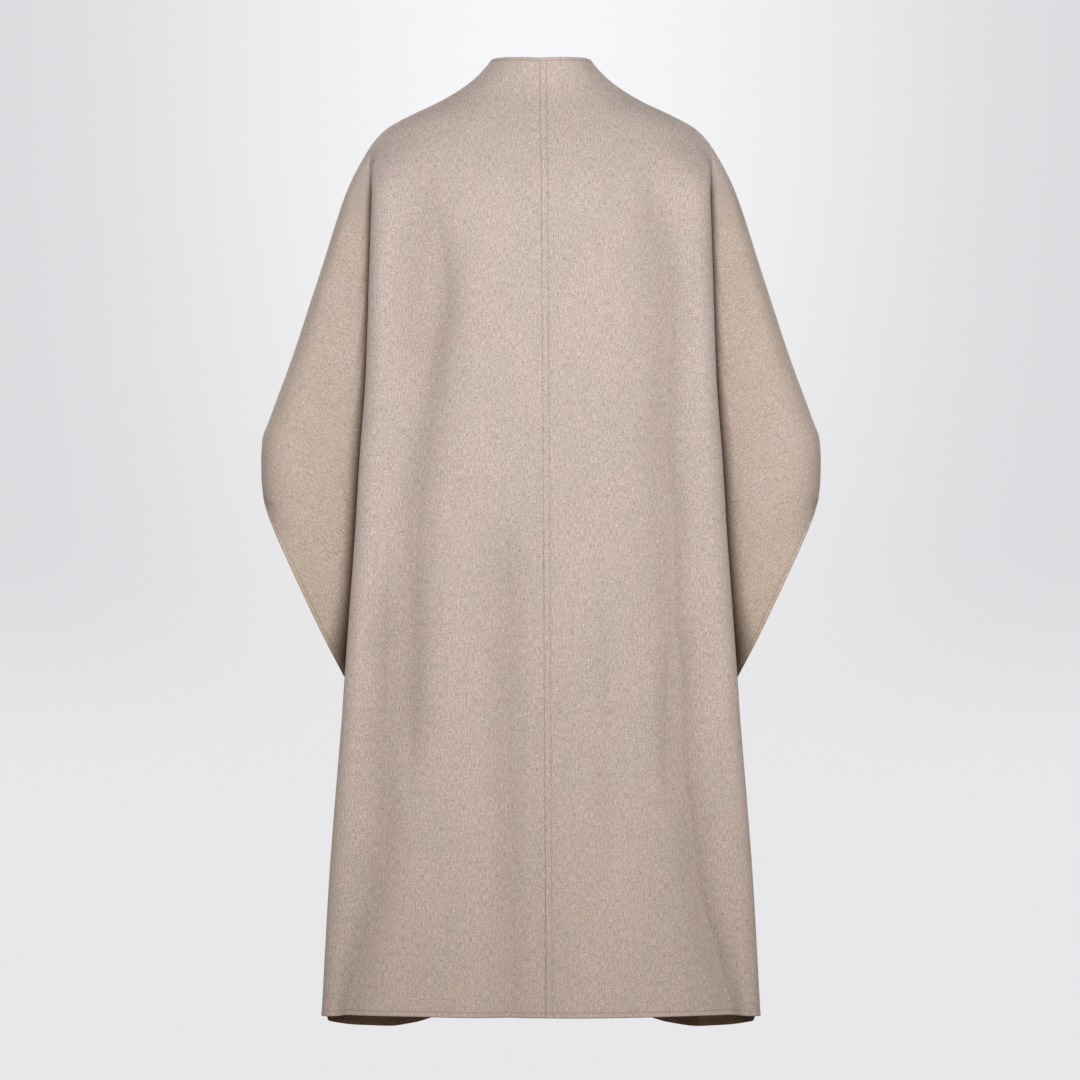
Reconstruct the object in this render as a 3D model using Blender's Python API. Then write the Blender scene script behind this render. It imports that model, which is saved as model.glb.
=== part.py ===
"""A long wool cape, empty and hollow, in the pose in which a wearer holds it up.

It is cut in four pieces: a left and a right back, and a left and a right front.
Each one takes in half of a wing over the arm and a quarter of the funnel collar.
The front looks along -Y, the wearer's left is at +X, and the origin is in the
middle of the neck opening, level with the foot of the collar.

Every piece is a grid. Its rows are sections at one height, and its columns run
down the garment. A section starts at the centre seam or the front edge, crosses
the body to the crest of the deep fold under the arm, turns in to the valley of
that fold, and comes out again as the wing, as far as the seam over the arm.
Lengths are in metres.
"""

from collections import namedtuple

import bmesh
import bpy
import numpy as np

# ---------------------------------------------------------------- sizes

WALL = 0.0022  # thickness of the brushed double-faced wool
SEAM_GAP = 0.0003  # between two pieces at a seam

COLLAR_TOP = 0.0475
CUFF_TOP = -0.488  # where the overarm seam ends and the cuff opens
UNDERARM = -0.775  # where the cuff closes and the side seam starts
HEM = -1.115  # at the side seams
COLLAR_DIP = 0.003  # the collar's edge is this much lower at its middle

BODY_COLUMNS = 14  # from the centre to the crest of the fold
WING_COLUMNS = 11  # from the crest to the seam over the arm, or to the side seam

# Heights between which the deep fold under the arm forms.
FOLD_STARTS = -0.050
FOLD_FORMED = -0.125

# How much a bend draws columns to itself, as metres of cloth for each radian. It
# fades where the wing under the cuff is narrower than NARROW_WING.
BEND_PULL = 0.030
NARROW_WING = 0.060

# Rows of each piece: a band of the height, and how many rows it is split into.
Band = namedtuple("Band", "top bottom rows")
BANDS = (
    Band(COLLAR_TOP, 0.012, 3),
    Band(0.012, -0.052, 7),
    Band(-0.052, -0.140, 5),
    Band(-0.140, CUFF_TOP, 7),
    Band(CUFF_TOP, -0.560, 4),
    Band(-0.560, -0.690, 3),
    Band(-0.690, UNDERARM, 6),
    Band(UNDERARM, HEM, 6),
)

# The seam along the collar's side, the shoulder and the arm, and from the cuff's
# closing down the side. It lies in the plane y = 0.
Outline = namedtuple("Outline", "z x")
ARM_SEAM = (
    Outline(COLLAR_TOP, 0.0595),
    Outline(0.0390, 0.0665),
    Outline(0.0244, 0.0805),
    Outline(0.0098, 0.1000),
    Outline(-0.0049, 0.1250),
    Outline(-0.0195, 0.1560),
    Outline(-0.0342, 0.1835),
    Outline(-0.0430, 0.1945),
    Outline(-0.0540, 0.2040),
    Outline(-0.0732, 0.2155),
    Outline(-0.1220, 0.2380),
    Outline(-0.2196, 0.2705),
    Outline(-0.3172, 0.3030),
    Outline(-0.3904, 0.3300),
    Outline(-0.4148, 0.3385),
    Outline(-0.4392, 0.3400),
    Outline(-0.4636, 0.3395),
    Outline(CUFF_TOP, 0.3370),
)
SIDE_SEAM = (
    Outline(UNDERARM, 0.2035),
    Outline(-0.8500, 0.2180),
    Outline(-0.9400, 0.2385),
    Outline(-1.0300, 0.2540),
    Outline(HEM, 0.2622),
)

# The free edge of the wing. Lean is the way the cloth heads there, in degrees
# from straight out to the side (0) to straight towards the other face (90), and
# reach is the length of the curve's handle there. Over the arm they stay as in
# the first row.
Cuff = namedtuple("Cuff", "z x y lean reach")
CUFF_EDGE = (
    Cuff(CUFF_TOP, 0.3370, 0.000, 90.0, 0.072),
    Cuff(-0.5050, 0.3310, 0.027, 70.0, 0.052),
    Cuff(-0.5300, 0.3205, 0.047, 42.0, 0.040),
    Cuff(-0.5612, 0.3060, 0.059, 20.0, 0.034),
    Cuff(-0.6100, 0.2830, 0.064, 10.0, 0.026),
    Cuff(-0.6500, 0.2640, 0.062, 6.0, 0.020),
    Cuff(-0.6950, 0.2415, 0.047, 2.0, 0.016),
    Cuff(-0.7200, 0.2295, 0.029, 2.0, 0.014),
    Cuff(-0.7450, 0.2175, 0.012, 10.0, 0.010),
    Cuff(-0.7600, 0.2105, 0.005, 40.0, 0.005),
    Cuff(UNDERARM, 0.2035, 0.000, 90.0, 0.003),
)

# The deep fold: its crest, its valley and the knee where the wing comes out of it
# and turns level, as distances from the middle plane (x) and from the seam plane (y).
Fold = namedtuple("Fold", "z crest_x crest_y valley_x valley_y knee_x knee_y")
BACK_FOLD = (
    Fold(-0.080, 0.2005, 0.074, 0.1955, 0.050, 0.2030, 0.058),
    Fold(-0.130, 0.2020, 0.092, 0.1875, 0.040, 0.2045, 0.064),
    Fold(-0.200, 0.2040, 0.102, 0.1860, 0.036, 0.2065, 0.069),
    Fold(-0.342, 0.2085, 0.107, 0.1840, 0.034, 0.2115, 0.071),
    Fold(-0.439, 0.2156, 0.108, 0.1870, 0.030, 0.2185, 0.071),
    Fold(-0.537, 0.2216, 0.107, 0.1920, 0.026, 0.2245, 0.070),
    Fold(-0.634, 0.2288, 0.107, 0.1970, 0.022, 0.2315, 0.069),
    Fold(-0.715, 0.2345, 0.106, 0.1980, 0.017, 0.2400, 0.050),
    Fold(-0.745, 0.2365, 0.105, 0.2000, 0.013, 0.2440, 0.034),
    Fold(UNDERARM, 0.2390, 0.103, 0.2035, 0.001, 0.2460, 0.010),
    Fold(-0.940, 0.2525, 0.087, 0.2385, 0.000, 0.2560, 0.010),
    Fold(HEM, 0.2630, 0.070, 0.2622, 0.000, 0.2660, 0.010),
)
FRONT_FOLD = (
    Fold(-0.080, 0.1985, 0.064, 0.1940, 0.046, 0.2015, 0.053),
    Fold(-0.130, 0.1985, 0.078, 0.1850, 0.040, 0.2015, 0.058),
    Fold(-0.200, 0.1995, 0.088, 0.1840, 0.036, 0.2025, 0.062),
    Fold(-0.342, 0.2030, 0.097, 0.1820, 0.034, 0.2065, 0.064),
    Fold(-0.439, 0.2090, 0.101, 0.1850, 0.030, 0.2125, 0.064),
    Fold(-0.537, 0.2150, 0.101, 0.1900, 0.026, 0.2185, 0.063),
    Fold(-0.634, 0.2220, 0.100, 0.1950, 0.022, 0.2255, 0.062),
    Fold(-0.715, 0.2280, 0.099, 0.1970, 0.017, 0.2340, 0.047),
    Fold(-0.745, 0.2300, 0.098, 0.1990, 0.013, 0.2370, 0.034),
    Fold(UNDERARM, 0.2330, 0.096, 0.2035, 0.001, 0.2400, 0.010),
    Fold(-0.940, 0.2490, 0.084, 0.2370, 0.000, 0.2540, 0.010),
    Fold(HEM, 0.2625, 0.070, 0.2622, 0.000, 0.2660, 0.010),
)

# The middle of each face: where its edge is (x, towards the wearer's left), how
# far the cloth stands off the seam plane (y), and how square the section is.
Centre = namedtuple("Centre", "z x y square")
CENTRE_BACK = (
    Centre(COLLAR_TOP, 0.0011, 0.0600, 2.25),
    Centre(0.0200, 0.0010, 0.0625, 2.20),
    Centre(0.0000, 0.0008, 0.0690, 2.20),
    Centre(-0.0250, 0.0005, 0.0840, 2.25),
    Centre(-0.0600, 0.0002, 0.1050, 2.35),
    Centre(-0.1100, -0.0003, 0.1265, 2.50),
    Centre(-0.1800, -0.0008, 0.1390, 2.70),
    Centre(-0.2800, -0.0015, 0.1440, 2.70),
    Centre(-0.5000, -0.0028, 0.1430, 2.70),
    Centre(-0.8000, -0.0044, 0.1400, 2.50),
    Centre(HEM, -0.0060, 0.1400, 2.30),
)
CENTRE_FRONT = (
    Centre(COLLAR_TOP, 0.0008, 0.0560, 2.20),
    Centre(0.0200, 0.0008, 0.0610, 2.20),
    Centre(0.0000, 0.0008, 0.0680, 2.20),
    Centre(-0.0250, 0.0009, 0.0790, 2.30),
    Centre(-0.0600, 0.0011, 0.0920, 2.40),
    Centre(-0.1100, 0.0014, 0.1060, 2.50),
    Centre(-0.1800, 0.0020, 0.1190, 2.60),
    Centre(-0.2800, 0.0030, 0.1270, 2.60),
    Centre(-0.5000, 0.0055, 0.1300, 2.60),
    Centre(-0.8000, 0.0090, 0.1310, 2.50),
    Centre(HEM, 0.0130, 0.1330, 2.30),
)

# How far above the height HEM the hem hangs on each face, by the share of the
# cloth's width from the centre (0) to the side seam (1).
HemLine = namedtuple("HemLine", "share back front")
HEM_LINE = (
    HemLine(0.00, 0.0105, -0.0120),
    HemLine(0.27, 0.0105, -0.0132),
    HemLine(0.35, 0.0105, -0.0170),
    HemLine(0.43, 0.0103, -0.0232),
    HemLine(0.54, 0.0098, -0.0262),
    HemLine(0.66, 0.0085, -0.0245),
    HemLine(0.77, 0.0068, -0.0180),
    HemLine(0.90, 0.0025, -0.0060),
    HemLine(1.00, 0.0000, 0.0000),
)

# Soft folds down the body, each along a path of places from its top to its foot.
# Depth is inwards, so a ridge has a negative one. A fold fades in over a length of
# height below its top and out over one above its foot, where that isn't 0.
At = namedtuple("At", "z x")
Drape = namedtuple("Drape", "width depth fade_in fade_out path")
DRAPES = {
    "back_left": (
        Drape(
            0.0240, 0.0110, 0.120, 0.110,
            (At(-0.045, 0.132), At(-0.150, 0.142), At(-0.245, 0.156), At(-0.400, 0.153)),
        ),
        Drape(
            0.0180, 0.0170, 0.160, 0.150,
            (At(-0.110, 0.126), At(-0.245, 0.114), At(-0.342, 0.127), At(-0.427, 0.139),
             At(-0.510, 0.149), At(-0.710, 0.153), At(-0.880, 0.158)),
        ),
        Drape(
            0.0190, 0.0150, 0.130, 0.0,
            (At(-0.540, 0.179), At(-0.710, 0.182), At(-0.880, 0.186), At(-0.980, 0.199),
             At(-1.050, 0.217), At(HEM, 0.233)),
        ),
        Drape(0.0200, 0.0110, 0.100, 0.0, (At(-0.490, 0.041), At(-0.800, 0.041), At(HEM, 0.037))),
        Drape(0.0220, 0.0040, 0.160, 0.0, (At(-0.600, -0.008), At(HEM, -0.008))),
    ),
    "back_right": (
        Drape(
            0.0150, 0.0110, 0.140, 0.0,
            (At(-0.045, 0.124), At(-0.150, 0.138), At(-0.245, 0.152), At(-0.427, 0.149),
             At(-0.510, 0.157), At(-0.610, 0.158), At(-0.710, 0.167), At(-0.800, 0.168),
             At(-0.880, 0.179), At(-0.960, 0.190), At(-1.030, 0.208), At(HEM, 0.231)),
        ),
        Drape(
            0.0300, 0.0070, 0.200, 0.0,
            (At(-0.045, 0.110), At(-0.245, 0.134), At(-0.510, 0.140), At(-0.800, 0.158),
             At(HEM, 0.214)),
        ),
        Drape(0.0090, 0.0050, 0.110, 0.120, (At(-0.600, 0.153), At(-0.720, 0.149), At(-0.900, 0.148))),
        Drape(0.0100, 0.0045, 0.120, 0.140, (At(-0.580, 0.071), At(-1.020, 0.072))),
        Drape(0.0220, 0.0040, 0.160, 0.0, (At(-0.600, 0.008), At(HEM, 0.008))),
    ),
    "front_left": (
        Drape(0.0220, 0.0110, 0.260, 0.0, (At(-0.220, 0.118), At(-1.135, 0.185))),
        Drape(0.0200, 0.0080, 0.240, 0.0, (At(-0.420, 0.062), At(-1.135, 0.090))),
        Drape(0.0180, -0.0060, 0.240, 0.0, (At(-0.450, 0.088), At(-1.135, 0.128))),
    ),
    "front_right": (
        Drape(0.0210, 0.0115, 0.240, 0.0, (At(-0.190, 0.126), At(-1.135, 0.196))),
        Drape(0.0190, 0.0075, 0.260, 0.0, (At(-0.500, 0.056), At(-1.135, 0.079))),
        Drape(0.0190, -0.0055, 0.260, 0.0, (At(-0.400, 0.095), At(-1.135, 0.138))),
    ),
}
TROUGH_POWER = 1.3  # the straighter a fold's sides, the nearer to 1
TROUGH_ROUND = 0.15  # of a fold's width, rounded at its bottom
DRAPE_ENDS = (0.006, 0.030)  # inside the crest, where the folds have gone and are whole

# The corner of the body, from the back's level part to the crest of the deep fold.
CORNER_WIDTH = 0.024
CORNER_DEPTH = 0.025
CORNER_ROUND = 0.56  # handles, as shares of the two
CORNER_LEAN = 1.5  # times the slope of the line from the centre to the corner

# Handles of the section's curves: shares of the lengths that they span, or metres.
BACK_HANDLE = 0.45  # along the body, from the centre
CORNER_HANDLE = 0.35  # along the body, into the corner
RETURN_HANDLE = 0.26  # out of the crest, into the fold
VALLEY_HANDLE = 0.42  # into the valley
VALLEY_TURN = 0.014  # out of the valley to a narrow wing, in metres
MOST_TURN = 0.35  # of the way from the valley to the end of a narrow wing
DIVE_TURN = 0.020  # out of the valley to the knee, in metres
KNEE_LEAN = 1.0  # degrees
KNEE_BEFORE = 0.009  # into the knee, in metres
KNEE_AFTER = 0.45  # out of the knee, along the wing
FULL_AHEAD = 0.100  # a wing of this width past the knee has the whole end handle
WIDE_WING = 0.040  # past the crest, where the knee is whole
CREST_SHARE = 0.90  # of the half width, above the fold
CURVE_STEPS = 60  # points on each curve before its columns are spread

Piece = namedtuple("Piece", "name side face fold centre hem colour")
PIECES = (
    Piece("back_left", 1, 1, BACK_FOLD, CENTRE_BACK, "back", (0.56, 0.46, 0.41)),
    Piece("back_right", -1, 1, BACK_FOLD, CENTRE_BACK, "back", (0.55, 0.45, 0.40)),
    Piece("front_left", 1, -1, FRONT_FOLD, CENTRE_FRONT, "front", (0.53, 0.43, 0.38)),
    Piece("front_right", -1, -1, FRONT_FOLD, CENTRE_FRONT, "front", (0.52, 0.42, 0.37)),
)
CLOTH_ROUGHNESS = 0.92
SHARP_ANGLE = 50.0  # degrees, so that the rim of a wall shows as an edge

# ---------------------------------------------------------------- curves


def smooth_step(value, start, end):
    """0 at start, 1 at end, and level at both."""
    share = np.clip((value - start) / (end - start), 0.0, 1.0)
    return share * share * (3.0 - 2.0 * share)


def slopes_of(places, values):
    """Slopes of a smooth curve through the values that never overshoots them."""
    rise = np.diff(values) / np.diff(places)
    slopes = np.zeros(len(values))
    for i in range(1, len(values) - 1):
        if rise[i - 1] * rise[i] > 0.0:
            slopes[i] = 2.0 / (1.0 / rise[i - 1] + 1.0 / rise[i])
    slopes[0], slopes[-1] = rise[0], rise[-1]
    return slopes


def curve_through(places, values, at):
    """The smooth curve through the values, read at one place or at many."""
    slopes = slopes_of(places, values)
    at = np.clip(at, places[0], places[-1])
    i = np.clip(np.searchsorted(places, at) - 1, 0, len(places) - 2)
    span = places[i + 1] - places[i]
    t = (at - places[i]) / span
    return (
        values[i] * (1.0 + 2.0 * t) * (1.0 - t) ** 2
        + slopes[i] * span * t * (1.0 - t) ** 2
        + values[i + 1] * t * t * (3.0 - 2.0 * t)
        + slopes[i + 1] * span * t * t * (t - 1.0)
    )


def read(table, column, z):
    """A column of a table at height z. The tables run downwards."""
    depths = -np.array([row.z for row in table])
    values = np.array([getattr(row, column) for row in table])
    return float(curve_through(depths, values, -z))


def hem_lift(face, share):
    """How far above HEM the hem hangs on a face, at shares of its half width."""
    shares = np.array([row.share for row in HEM_LINE])
    lifts = np.array([getattr(row, face) for row in HEM_LINE])
    return curve_through(shares, lifts, share)


def bezier(start, start_handle, end_handle, end):
    """Points of a cubic curve."""
    t = np.linspace(0.0, 1.0, CURVE_STEPS + 1)[:, None]
    corners = [np.array(point) for point in (start, start_handle, end_handle, end)]
    weights = ((1 - t) ** 3, 3 * t * (1 - t) ** 2, 3 * t * t * (1 - t), t**3)
    return sum(weight * corner for weight, corner in zip(weights, corners))


def shares_along(line):
    """How far along a line each of its points lies, from 0 to 1."""
    lengths = np.hypot(*np.diff(line, axis=0).T)
    along = np.concatenate(([0.0], np.cumsum(lengths)))
    return along / along[-1]


def read_along(line, places, wanted):
    """Points of a line at the wanted places."""
    return np.stack([np.interp(wanted, places, line[:, axis]) for axis in (0, 1)], axis=1)


def evenly(line):
    """The same line in even steps."""
    return read_along(line, shares_along(line), np.linspace(0.0, 1.0, 2 * CURVE_STEPS + 1))


def spread(line, columns, pull):
    """That many steps along a line, drawn closer together where it bends."""
    steps = np.diff(line, axis=0)
    angles = np.unwrap(np.arctan2(steps[:, 1], steps[:, 0]))
    bends = np.abs(np.diff(angles, prepend=angles[0]))
    reach = np.concatenate(([0.0], np.cumsum(np.hypot(*steps.T) + pull * bends)))
    return read_along(line, reach, np.linspace(0.0, reach[-1], columns + 1))


# ---------------------------------------------------------------- sections


def end_of(z):
    """Where a section ends, which way it heads there, and its handle's length."""
    if z <= UNDERARM:
        return np.array([read(SIDE_SEAM, "x", z), 0.0]), np.radians(90.0), 0.0
    x = read(ARM_SEAM, "x", z) if z >= CUFF_TOP else read(CUFF_EDGE, "x", z)
    y, lean, reach = (read(CUFF_EDGE, column, z) for column in ("y", "lean", "reach"))
    return np.array([x, y]), np.radians(lean), reach


def drawn_in(piece, x, z):
    """How far the soft folds draw the cloth in, at one height."""
    depth = np.zeros_like(x)
    for fold in DRAPES[piece.name]:
        depths = -np.array([place.z for place in fold.path])
        middle = curve_through(depths, np.array([place.x for place in fold.path]), -z)
        strength = smooth_step(z, fold.path[0].z, fold.path[0].z - fold.fade_in)
        if fold.fade_out:
            strength *= smooth_step(z, fold.path[-1].z, fold.path[-1].z + fold.fade_out)
        aside = np.hypot((x - middle) / fold.width, TROUGH_ROUND)
        depth += strength * fold.depth * np.exp(-(aside**TROUGH_POWER))
    return depth


def draped(piece, z, body):
    """The body's part of a section with its soft folds, which end before the crest."""
    body = evenly(body)
    x = body[:, 0]
    fade = smooth_step(read(piece.fold, "crest_x", z) - x, *DRAPE_ENDS)
    return np.stack([x, body[:, 1] - fade * drawn_in(piece, x, z)], axis=1)


def join(piece, z, body, wing, wing_pull=BEND_PULL):
    """One row of points from the centre to the section's end."""
    body_points = spread(draped(piece, z, body), BODY_COLUMNS, BEND_PULL)
    return np.vstack([body_points, spread(wing, WING_COLUMNS, wing_pull)[1:]])


def plain_section(piece, z, centre, end):
    """A rounded quarter, for the collar and the shoulders, where nothing is folded."""
    square = read(piece.centre, "square", z)
    turn = np.linspace(0.0, np.pi / 2, 3 * CURVE_STEPS + 1)
    reach = end[0] - centre[0]
    x = centre[0] + reach * np.sin(turn) ** (2.0 / square)
    y = end[1] + (centre[1] - end[1]) * np.cos(turn) ** (2.0 / square)
    line = np.stack([x, y], axis=1)
    cut = int(np.searchsorted(x, centre[0] + CREST_SHARE * reach))
    return join(piece, z, line[: cut + 1], line[cut:])


def body_out(centre, crest):
    """From the centre across the body and round a tight corner to the crest."""
    corner = crest + [-CORNER_WIDTH, CORNER_DEPTH]
    across, back = corner[0] - centre[0], centre[1] - corner[1]
    lean = CORNER_LEAN * np.arctan2(back, across)
    heading = np.array([np.cos(lean), -np.sin(lean)])
    flat = bezier(
        centre,
        centre + [BACK_HANDLE * across, 0.0],
        corner - CORNER_HANDLE * across * heading,
        corner,
    )
    rounded = bezier(
        corner,
        corner + CORNER_ROUND * CORNER_WIDTH * heading,
        crest + [0.0, CORNER_ROUND * CORNER_DEPTH],
        crest,
    )
    return np.vstack([flat, rounded[1:]])


def wing_out(piece, z, crest, valley, end, heading, reach):
    """From the valley to the section's end: a steep rise to the knee, then the level wing."""
    down = np.array([0.0, -1.0])
    turn = min(VALLEY_TURN, MOST_TURN * float(np.hypot(*(end - valley))))
    narrow = bezier(valley, valley + turn * down, end - reach * heading, end)
    wide = smooth_step(end[0] - crest[0], 0.0, WIDE_WING)
    if wide == 0.0:
        return evenly(narrow)
    knee = np.array([read(piece.fold, "knee_x", z), read(piece.fold, "knee_y", z)])
    lean = np.radians(KNEE_LEAN)
    level = np.array([np.cos(lean), np.sin(lean)])
    rise = bezier(valley, valley + DIVE_TURN * down, knee - KNEE_BEFORE * level, knee)
    width = float(np.hypot(*(end - knee)))
    ahead = min(1.0, width / FULL_AHEAD)
    rest = bezier(knee, knee + KNEE_AFTER * width * level, end - ahead * reach * heading, end)
    return (1.0 - wide) * evenly(narrow) + wide * evenly(np.vstack([rise, rest[1:]]))


def folded_section(piece, z, centre, end, lean, reach):
    """From the centre round the crest, into the valley and, over the arm, out again."""
    down = np.array([0.0, -1.0])
    crest = np.array([read(piece.fold, "crest_x", z), read(piece.fold, "crest_y", z)])
    valley = np.array([read(piece.fold, "valley_x", z), read(piece.fold, "valley_y", z)])
    if z <= UNDERARM:
        valley = end
    body = body_out(centre, crest)
    depth = crest[1] - valley[1]
    inward = bezier(
        crest,
        crest + RETURN_HANDLE * depth * down,
        valley - VALLEY_HANDLE * depth * down,
        valley,
    )
    if z <= UNDERARM:
        return join(piece, z, body, inward)
    heading = np.array([np.cos(lean), -np.sin(lean)])
    outward = wing_out(piece, z, crest, valley, end, heading, reach)
    wing_pull = BEND_PULL * smooth_step(float(np.hypot(*(end - valley))), 0.0, NARROW_WING)
    return join(piece, z, body, np.vstack([inward, outward[1:]]), wing_pull)


def section(piece, z):
    """The middle of the wall at one height, in the quarter where x and y are positive."""
    seam = SEAM_GAP / 2
    edge = read(piece.centre, "x", z)
    start = piece.side * edge + seam if piece.face > 0 else edge
    centre = np.array([start, read(piece.centre, "y", z)])
    end, lean, reach = end_of(z)
    end[1] = max(end[1], seam)
    folded = smooth_step(z, FOLD_STARTS, FOLD_FORMED)
    if folded == 0.0:
        return plain_section(piece, z, centre, end)
    row = folded_section(piece, z, centre, end, lean, reach)
    if folded == 1.0:
        return row
    return folded * row + (1.0 - folded) * plain_section(piece, z, centre, end)


# ---------------------------------------------------------------- pieces


def heights():
    """The heights of the rows at the side seam, from the collar's edge to the hem."""
    rows = [COLLAR_TOP]
    for band in BANDS:
        rows.extend(np.linspace(band.top, band.bottom, band.rows + 1)[1:])
    return rows


def middle_surface(piece):
    """Rows and columns of points through the middle of the wall, in world space."""
    rows = []
    for z in heights():
        line = section(piece, z)
        share = shares_along(line)
        to_hem = np.clip((UNDERARM - z) / (UNDERARM - HEM), 0.0, 1.0)
        to_collar = np.clip(z / COLLAR_TOP, 0.0, 1.0)
        up = to_hem * hem_lift(piece.hem, share) - to_collar * COLLAR_DIP * (1.0 - share) ** 2
        x, y = piece.side * line[:, 0], piece.face * line[:, 1]
        rows.append(np.stack([x, y, z + up], axis=1))
    return np.array(rows)


def outward_normals(piece, surface):
    """Unit normals, square to the seams so that the two sides of a seam stay parallel."""
    down = np.gradient(surface, axis=0)
    across = np.gradient(surface, axis=1)
    normals = np.cross(down, across) * piece.side * piece.face
    normals[:, 0, 0] = 0.0
    for row, z in enumerate(heights()):
        if z >= CUFF_TOP or z <= UNDERARM:
            normals[row, -1, 1] = 0.0
    return normals / np.linalg.norm(normals, axis=2, keepdims=True)


def wall_mesh(piece):
    """A closed wall: the middle surface moved out and in, and its rim between the two."""
    surface = middle_surface(piece)
    offset = outward_normals(piece, surface) * WALL / 2
    rows, columns = surface.shape[:2]
    mesh = bmesh.new()
    skins = [
        [[mesh.verts.new(point) for point in row] for row in skin]
        for skin in (surface + offset, surface - offset)
    ]
    for skin in skins:
        for upper, lower in zip(skin, skin[1:]):
            for j in range(columns - 1):
                mesh.faces.new((upper[j], upper[j + 1], lower[j + 1], lower[j]))
    rim = [(0, j) for j in range(columns)]
    rim += [(i, columns - 1) for i in range(1, rows)]
    rim += [(rows - 1, j) for j in range(columns - 2, -1, -1)]
    rim += [(i, 0) for i in range(rows - 2, 0, -1)]
    outer, inner = skins
    for (i, j), (k, m) in zip(rim, rim[1:] + rim[:1]):
        mesh.faces.new((outer[i][j], inner[i][j], inner[k][m], outer[k][m]))
    bmesh.ops.recalc_face_normals(mesh, faces=mesh.faces)
    return mesh


def wool(piece):
    """The material of one piece."""
    material = bpy.data.materials.new(f"{piece.name}_wool")
    material.use_nodes = True
    shader = material.node_tree.nodes["Principled BSDF"]
    shader.inputs["Base Color"].default_value = (*piece.colour, 1.0)
    shader.inputs["Roughness"].default_value = CLOTH_ROUGHNESS
    shader.inputs["Metallic"].default_value = 0.0
    material.diffuse_color = (*piece.colour, 1.0)
    return material


def add_piece(piece, parent):
    """One sewn piece as an object of its own."""
    mesh = bpy.data.meshes.new(piece.name)
    wall = wall_mesh(piece)
    wall.to_mesh(mesh)
    wall.free()
    mesh.materials.append(wool(piece))
    mesh.shade_smooth()
    mesh.set_sharp_from_angle(angle=np.radians(SHARP_ANGLE))
    cloth = bpy.data.objects.new(piece.name, mesh)
    cloth.parent = parent
    bpy.context.scene.collection.objects.link(cloth)


def main():
    for old in list(bpy.data.objects):
        bpy.data.objects.remove(old)
    cape = bpy.data.objects.new("wool_cape", None)
    bpy.context.scene.collection.objects.link(cape)
    for piece in PIECES:
        add_piece(piece, cape)


main()
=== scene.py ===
"""The looks of a long wool cape, seen from the back: fine cloth, seams, stitching, wool and light.

Each of the four sewn pieces is a thin closed shell on the form of its solid, with the same
sections, the soft folds, rolled edges, a felled centre-back seam and rows of topstitching.
The front looks along -Y and the wearer's left is at +X. Lengths are in metres.
"""

from collections import namedtuple

import bpy
import numpy as np
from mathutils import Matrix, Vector


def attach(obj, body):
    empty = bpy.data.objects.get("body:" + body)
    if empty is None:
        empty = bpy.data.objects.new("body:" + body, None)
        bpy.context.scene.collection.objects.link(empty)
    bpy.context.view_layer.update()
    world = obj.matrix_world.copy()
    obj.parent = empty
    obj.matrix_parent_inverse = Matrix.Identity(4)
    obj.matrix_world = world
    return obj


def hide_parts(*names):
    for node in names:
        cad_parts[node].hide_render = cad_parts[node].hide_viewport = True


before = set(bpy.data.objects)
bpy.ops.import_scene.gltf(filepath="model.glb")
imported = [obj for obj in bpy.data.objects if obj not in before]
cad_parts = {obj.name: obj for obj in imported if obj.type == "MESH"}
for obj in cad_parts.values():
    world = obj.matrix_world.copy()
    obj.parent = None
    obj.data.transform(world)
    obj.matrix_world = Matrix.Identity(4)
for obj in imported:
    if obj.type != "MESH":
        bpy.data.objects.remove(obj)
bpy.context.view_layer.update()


def table(columns, *rows):
    """Rows whose columns have names."""
    row = namedtuple("Row", columns)
    return tuple(row(*values) for values in rows)


# ---- the camera's place

PIXEL = 0.00122  # metres of the cape for each pixel of the 1080 x 1080 frame
FRAME_PIXELS = 1080
CAMERA_DISTANCE = 5.0
CAMERA_X = 0.00122
CAMERA_Z = -0.5368
SENSOR = 36.0  # mm

# ---- sizes, as in the solids

WALL = 0.0022
SEAM_GAP = 0.00008  # sewn tight, where the solids keep 0.0003
COLLAR_TOP = 0.0475
CUFF_TOP = -0.488
UNDERARM = -0.775
HEM = -1.115
COLLAR_DIP = 0.003  # at the centre
FOLD_STARTS = -0.050
FOLD_FORMED = -0.125

ARM_SEAM = table(
    "z x",
    (COLLAR_TOP, 0.0595),
    (0.0390, 0.0665),
    (0.0244, 0.0805),
    (0.0098, 0.1000),
    (-0.0049, 0.1250),
    (-0.0195, 0.1560),
    (-0.0342, 0.1835),
    (-0.0430, 0.1945),
    (-0.0540, 0.2040),
    (-0.0732, 0.2155),
    (-0.1220, 0.2380),
    (-0.2196, 0.2705),
    (-0.3172, 0.3030),
    (-0.3904, 0.3300),
    (-0.4148, 0.3385),
    (-0.4392, 0.3400),
    (-0.4636, 0.3395),
    (CUFF_TOP, 0.3370),
)
SIDE_SEAM = table(
    "z x",
    (UNDERARM, 0.2035),
    (-0.8500, 0.2180),
    (-0.9400, 0.2385),
    (-1.0300, 0.2540),
    (HEM, 0.2622),
)
CUFF_EDGE = table(
    "z x y lean reach",
    (CUFF_TOP, 0.3370, 0.000, 90.0, 0.072),
    (-0.5050, 0.3310, 0.027, 70.0, 0.052),
    (-0.5300, 0.3205, 0.047, 42.0, 0.040),
    (-0.5612, 0.3060, 0.059, 20.0, 0.034),
    (-0.6100, 0.2830, 0.064, 10.0, 0.026),
    (-0.6500, 0.2640, 0.062, 6.0, 0.020),
    (-0.6950, 0.2415, 0.047, 2.0, 0.016),
    (-0.7200, 0.2295, 0.029, 2.0, 0.014),
    (-0.7450, 0.2175, 0.012, 10.0, 0.010),
    (-0.7600, 0.2105, 0.005, 40.0, 0.005),
    (UNDERARM, 0.2035, 0.000, 90.0, 0.003),
)
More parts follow.
